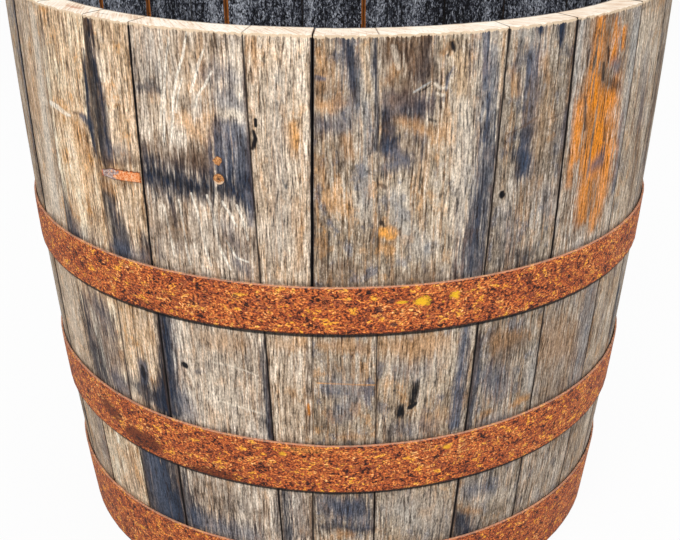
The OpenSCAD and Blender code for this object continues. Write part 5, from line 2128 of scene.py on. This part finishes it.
@dataclass
class Studio:
    """Camera, floor, backdrop and soft light.

    The foot's reach is where the floor turns from dark under the tub to white.
    """

    camera_place: Triple = (0.0, -1.2152301, 0.7812258)
    camera_tilt: float = 24.12373
    lens_mm: float = 62.3720
    sensor_mm: float = 36.0
    shift_x: float = 1 / 680
    floor_side: float = 14.0
    foot_reach: tuple[float, float] = (0.262, 0.280)
    aim: Triple = (0, 0, 0.35)
    lamps: tuple[Softbox, ...] = (
        Softbox("key", (-0.9, -2.3, 2.5), 1.6, 58, (1.0, 0.985, 0.96)),
        Softbox("fill", (2.2, -1.5, 1.6), 2.2, 21, (0.97, 0.985, 1.0)),
        Softbox("top", (0.2, 0.6, 2.9), 2.0, 20),
    )
    sky_colour: Colour = (0.97, 0.98, 1.0, 1)
    sky_strength: float = 0.36

    def build(self) -> None:
        """Set up everything that isn't part of the object."""
        self._camera()
        self._floor()
        self._lamps()
        self._sky()
        bpy.context.scene.view_settings.view_transform = "Standard"

    def _camera(self) -> None:
        """Place the camera at the photograph's angle."""
        data = bpy.data.cameras.new("camera")
        data.sensor_width = self.sensor_mm
        data.lens = self.lens_mm
        data.shift_x = self.shift_x
        data.clip_start = 0.02
        data.clip_end = 60
        camera = bpy.data.objects.new("camera", data)
        camera.location = self.camera_place
        camera.rotation_euler = (math.radians(90 - self.camera_tilt), 0, 0)
        bpy.context.scene.collection.objects.link(camera)
        bpy.context.scene.camera = camera

    def _floor(self) -> None:
        """Lay a pale floor that shows white, keeps a trace of the shadow, and is dark under the tub."""
        deselect()
        bpy.ops.mesh.primitive_plane_add(size=self.floor_side, location=(0, 0, 0))
        floor = bpy.context.object
        floor.name = "floor"
        bpy.ops.object.mode_set(mode="EDIT")
        bpy.ops.mesh.subdivide(number_cuts=3)
        bpy.ops.object.mode_set(mode="OBJECT")
        bench = Coating("floor_paper")
        matt = bench.node("ShaderNodeBsdfDiffuse", inputs={"Color": (0.86, 0.86, 0.86, 1)})
        white = bench.node("ShaderNodeEmission", inputs={"Strength": 1.0})
        seen = bench.node("ShaderNodeLightPath", out="Is Camera Ray")
        mirrored = bench.node("ShaderNodeLightPath", out="Is Glossy Ray")
        away = bench.vector("LENGTH", bench.stretch(bench.here(), (1, 1, 0)))
        share = bench.maths("MAXIMUM", seen, mirrored) * bench.smooth(away, *self.foot_reach) * 0.95
        floor.data.materials.append(bench.close(
            bench.node("ShaderNodeMixShader", inputs={0: share, 1: matt, 2: white})))

    def _lamps(self) -> None:
        """Hang the lamps and turn each towards the tub."""
        for lamp in self.lamps:
            data = bpy.data.lights.new(lamp.name, "AREA")
            data.shape = "SQUARE"
            data.size = lamp.size
            data.energy = lamp.watts
            data.color = lamp.warmth
            light = bpy.data.objects.new(lamp.name, data)
            light.location = lamp.place
            away = Vector(self.aim) - Vector(lamp.place)
            light.rotation_euler = away.to_track_quat("-Z", "Y").to_euler()
            bpy.context.scene.collection.objects.link(light)

    def _sky(self) -> None:
        """Light the scene evenly, and show white to the camera."""
        world = bpy.data.worlds.new("sky")
        bpy.context.scene.world = world
        world.use_nodes = True
        bench = Bench(world.node_tree)
        even = bench.node("ShaderNodeBackground", inputs={
            "Color": self.sky_colour, "Strength": self.sky_strength})
        white = bench.node("ShaderNodeBackground", inputs={"Color": (1, 1, 1, 1), "Strength": 1.0})
        seen = bench.node("ShaderNodeLightPath", out="Is Camera Ray")
        bench.end("ShaderNodeOutputWorld", "Surface",
                  bench.node("ShaderNodeMixShader", inputs={0: seen, 1: even, 2: white}))


# ---------------------------------------------------------------- the tub


@dataclass
class Planter:
    """The whole tub: staves, hoops, fastenings and floor."""

    bow: Bow = field(default_factory=Bow)
    amber_joints: tuple[int, ...] = (17, 19, 21, 22)
    stain_seed: int = 400
    # The stretches of bare stave above, between and below the hoops
    bare_mm: tuple[tuple[int, int], ...] = ((372, 574), (206, 316), (76, 148))

    @staticmethod
    def tone(number: int) -> Tone:
        """Give a stave's weathering: as photographed, or drawn by its number for the far side.

        Args:
            number: The stave's number, from 0.

        Returns:
            The weathering.
        """
        if number in TONES:
            return TONES[number]
        draw = field_noise(19, number * 5.13 + np.arange(4) * 31.7, octaves=1)
        return Tone(*(0.5 + 0.35 * float(value) for value in draw))

    def stains(self, number: int) -> tuple[Stroke, ...]:
        """Give a stave's stains: as photographed, or drawn by its number for the far side.

        Args:
            number: The stave's number, from 0.

        Returns:
            The stains in the order in which they are laid on.
        """
        if number + 1 in STAINS:
            return STAINS[number + 1]
        draw = np.random.default_rng(self.stain_seed + number)
        hues = (INK, SLATE, UMBER, HONEY, ASH, PALE)
        strokes = []
        for low, high in self.bare_mm:
            for _ in range(draw.integers(3, 3 + (high - low) // 30)):
                hue = hues[draw.integers(len(hues))]
                near_left, inside, near_right = (0.02, 0.12), (0.2, 0.8), (0.88, 0.98)
                share = draw.choice([draw.uniform(*reach) for reach in (near_left, inside, near_right)])
                start, run = draw.uniform(low, high), draw.uniform(0.2, 0.7) * (high - low)
                half = 1.2 if hue is PALE else draw.uniform(2.0, 7.0)
                points = []
                for step in range(3):
                    height = min(max(start - run * step / 2, low), high) - step
                    climb = height * MM / self.bow.height
                    left, right = joint_azimuth(number, climb), joint_azimuth(number + 1, climb)
                    azimuth = left + (right - left) * min(max(share + draw.normal(0, 0.02), 0.01), 0.99)
                    points.append((azimuth, height, half * draw.uniform(0.5, 1.3)))
                strokes.append(hue.line(draw.uniform(0.4, 0.9), *points))
        return tuple(strokes)

    def staves(self) -> None:
        """Build and dress every stave."""
        group = Staves(self.bow)
        strip = group.blank.make("strip")
        group.blank.paint_sides(strip, outer=0, inner=1, top=2, rest=3)
        sawn, sides = SawnEnd().make(), JointFace().make()
        charred: dict[tuple[bool, bool], bpy.types.Material] = {}
        for number in range(len(JOINTS)):
            node = f"stave_{number + 1:02d}"
            stave = group.build(number, strip, f"oak_stave_{number + 1:02d}")
            outside = WeatheredOak(number, self.tone(number), self.stains(number)).make()
            key = (number in self.amber_joints, (number + 1) % len(JOINTS) in self.amber_joints)
            if key not in charred:
                charred[key] = CharredOak(*key).make()
            for material in (outside, charred[key], sawn, sides):
                stave.data.materials.append(material)
            seat(stave, "stave_oak", node)
        bpy.data.objects.remove(strip)

    def hoops(self) -> None:
        """Build and dress the hoops and the rivets in their laps."""
        group = Hoops(self.bow)
        strip = group.blank.make("band")
        rivets = Rivets(group)
        pattern = rivets.pattern()
        heads = RivetRust().make()
        for shift, size in enumerate(HOOP_SIZES):
            hoop = group.build(size, strip)
            hoop.data.materials.append(HoopRust(size.name + "_rust", size.marks, shift * 4.7).make())
            seat(hoop, "hoop_steel", size.name)
            pair = rivets.build(size, pattern)
            pair.data.materials.append(heads)
            seat(pair, "fastening_steel", size.name + "_rivets")
        bpy.data.objects.remove(strip)
        bpy.data.objects.remove(pattern)

    def head(self) -> None:
        """Dress the floor's boards and dowels, whose CAD shape is kept."""
        finish = HeadOak()
        for number in range(1, 7):
            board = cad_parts[f"head_board_{number}"]
            board.data.materials.clear()
            board.data.materials.append(finish.make(f"head_oak_{number}", number * 2.3))
        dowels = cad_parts["head_dowels"]
        dowels.data.materials.clear()
        dowels.data.materials.append(DowelWood().make())

    def fastenings(self) -> None:
        """Build and dress the nails and the cleat."""
        nails = Nails(self.bow).build()
        nails.data.materials.clear()
        nails.data.materials.append(NailHeadRust().make())
        seat(nails, "fastening_steel", "stave_nails")
        cleat = Cleat(self.bow).build()
        cleat.data.materials.append(CleatRust().make())
        seat(cleat, "fastening_steel", "cleat")


def main() -> None:
    """Build the tub and its studio, and report each piece."""
    logging.basicConfig(level=logging.INFO, format="%(name)s: %(message)s")
    planter = Planter()
    Studio().build()
    planter.staves()
    planter.hoops()
    planter.head()
    planter.fastenings()


if __name__ == "__main__":
    main()
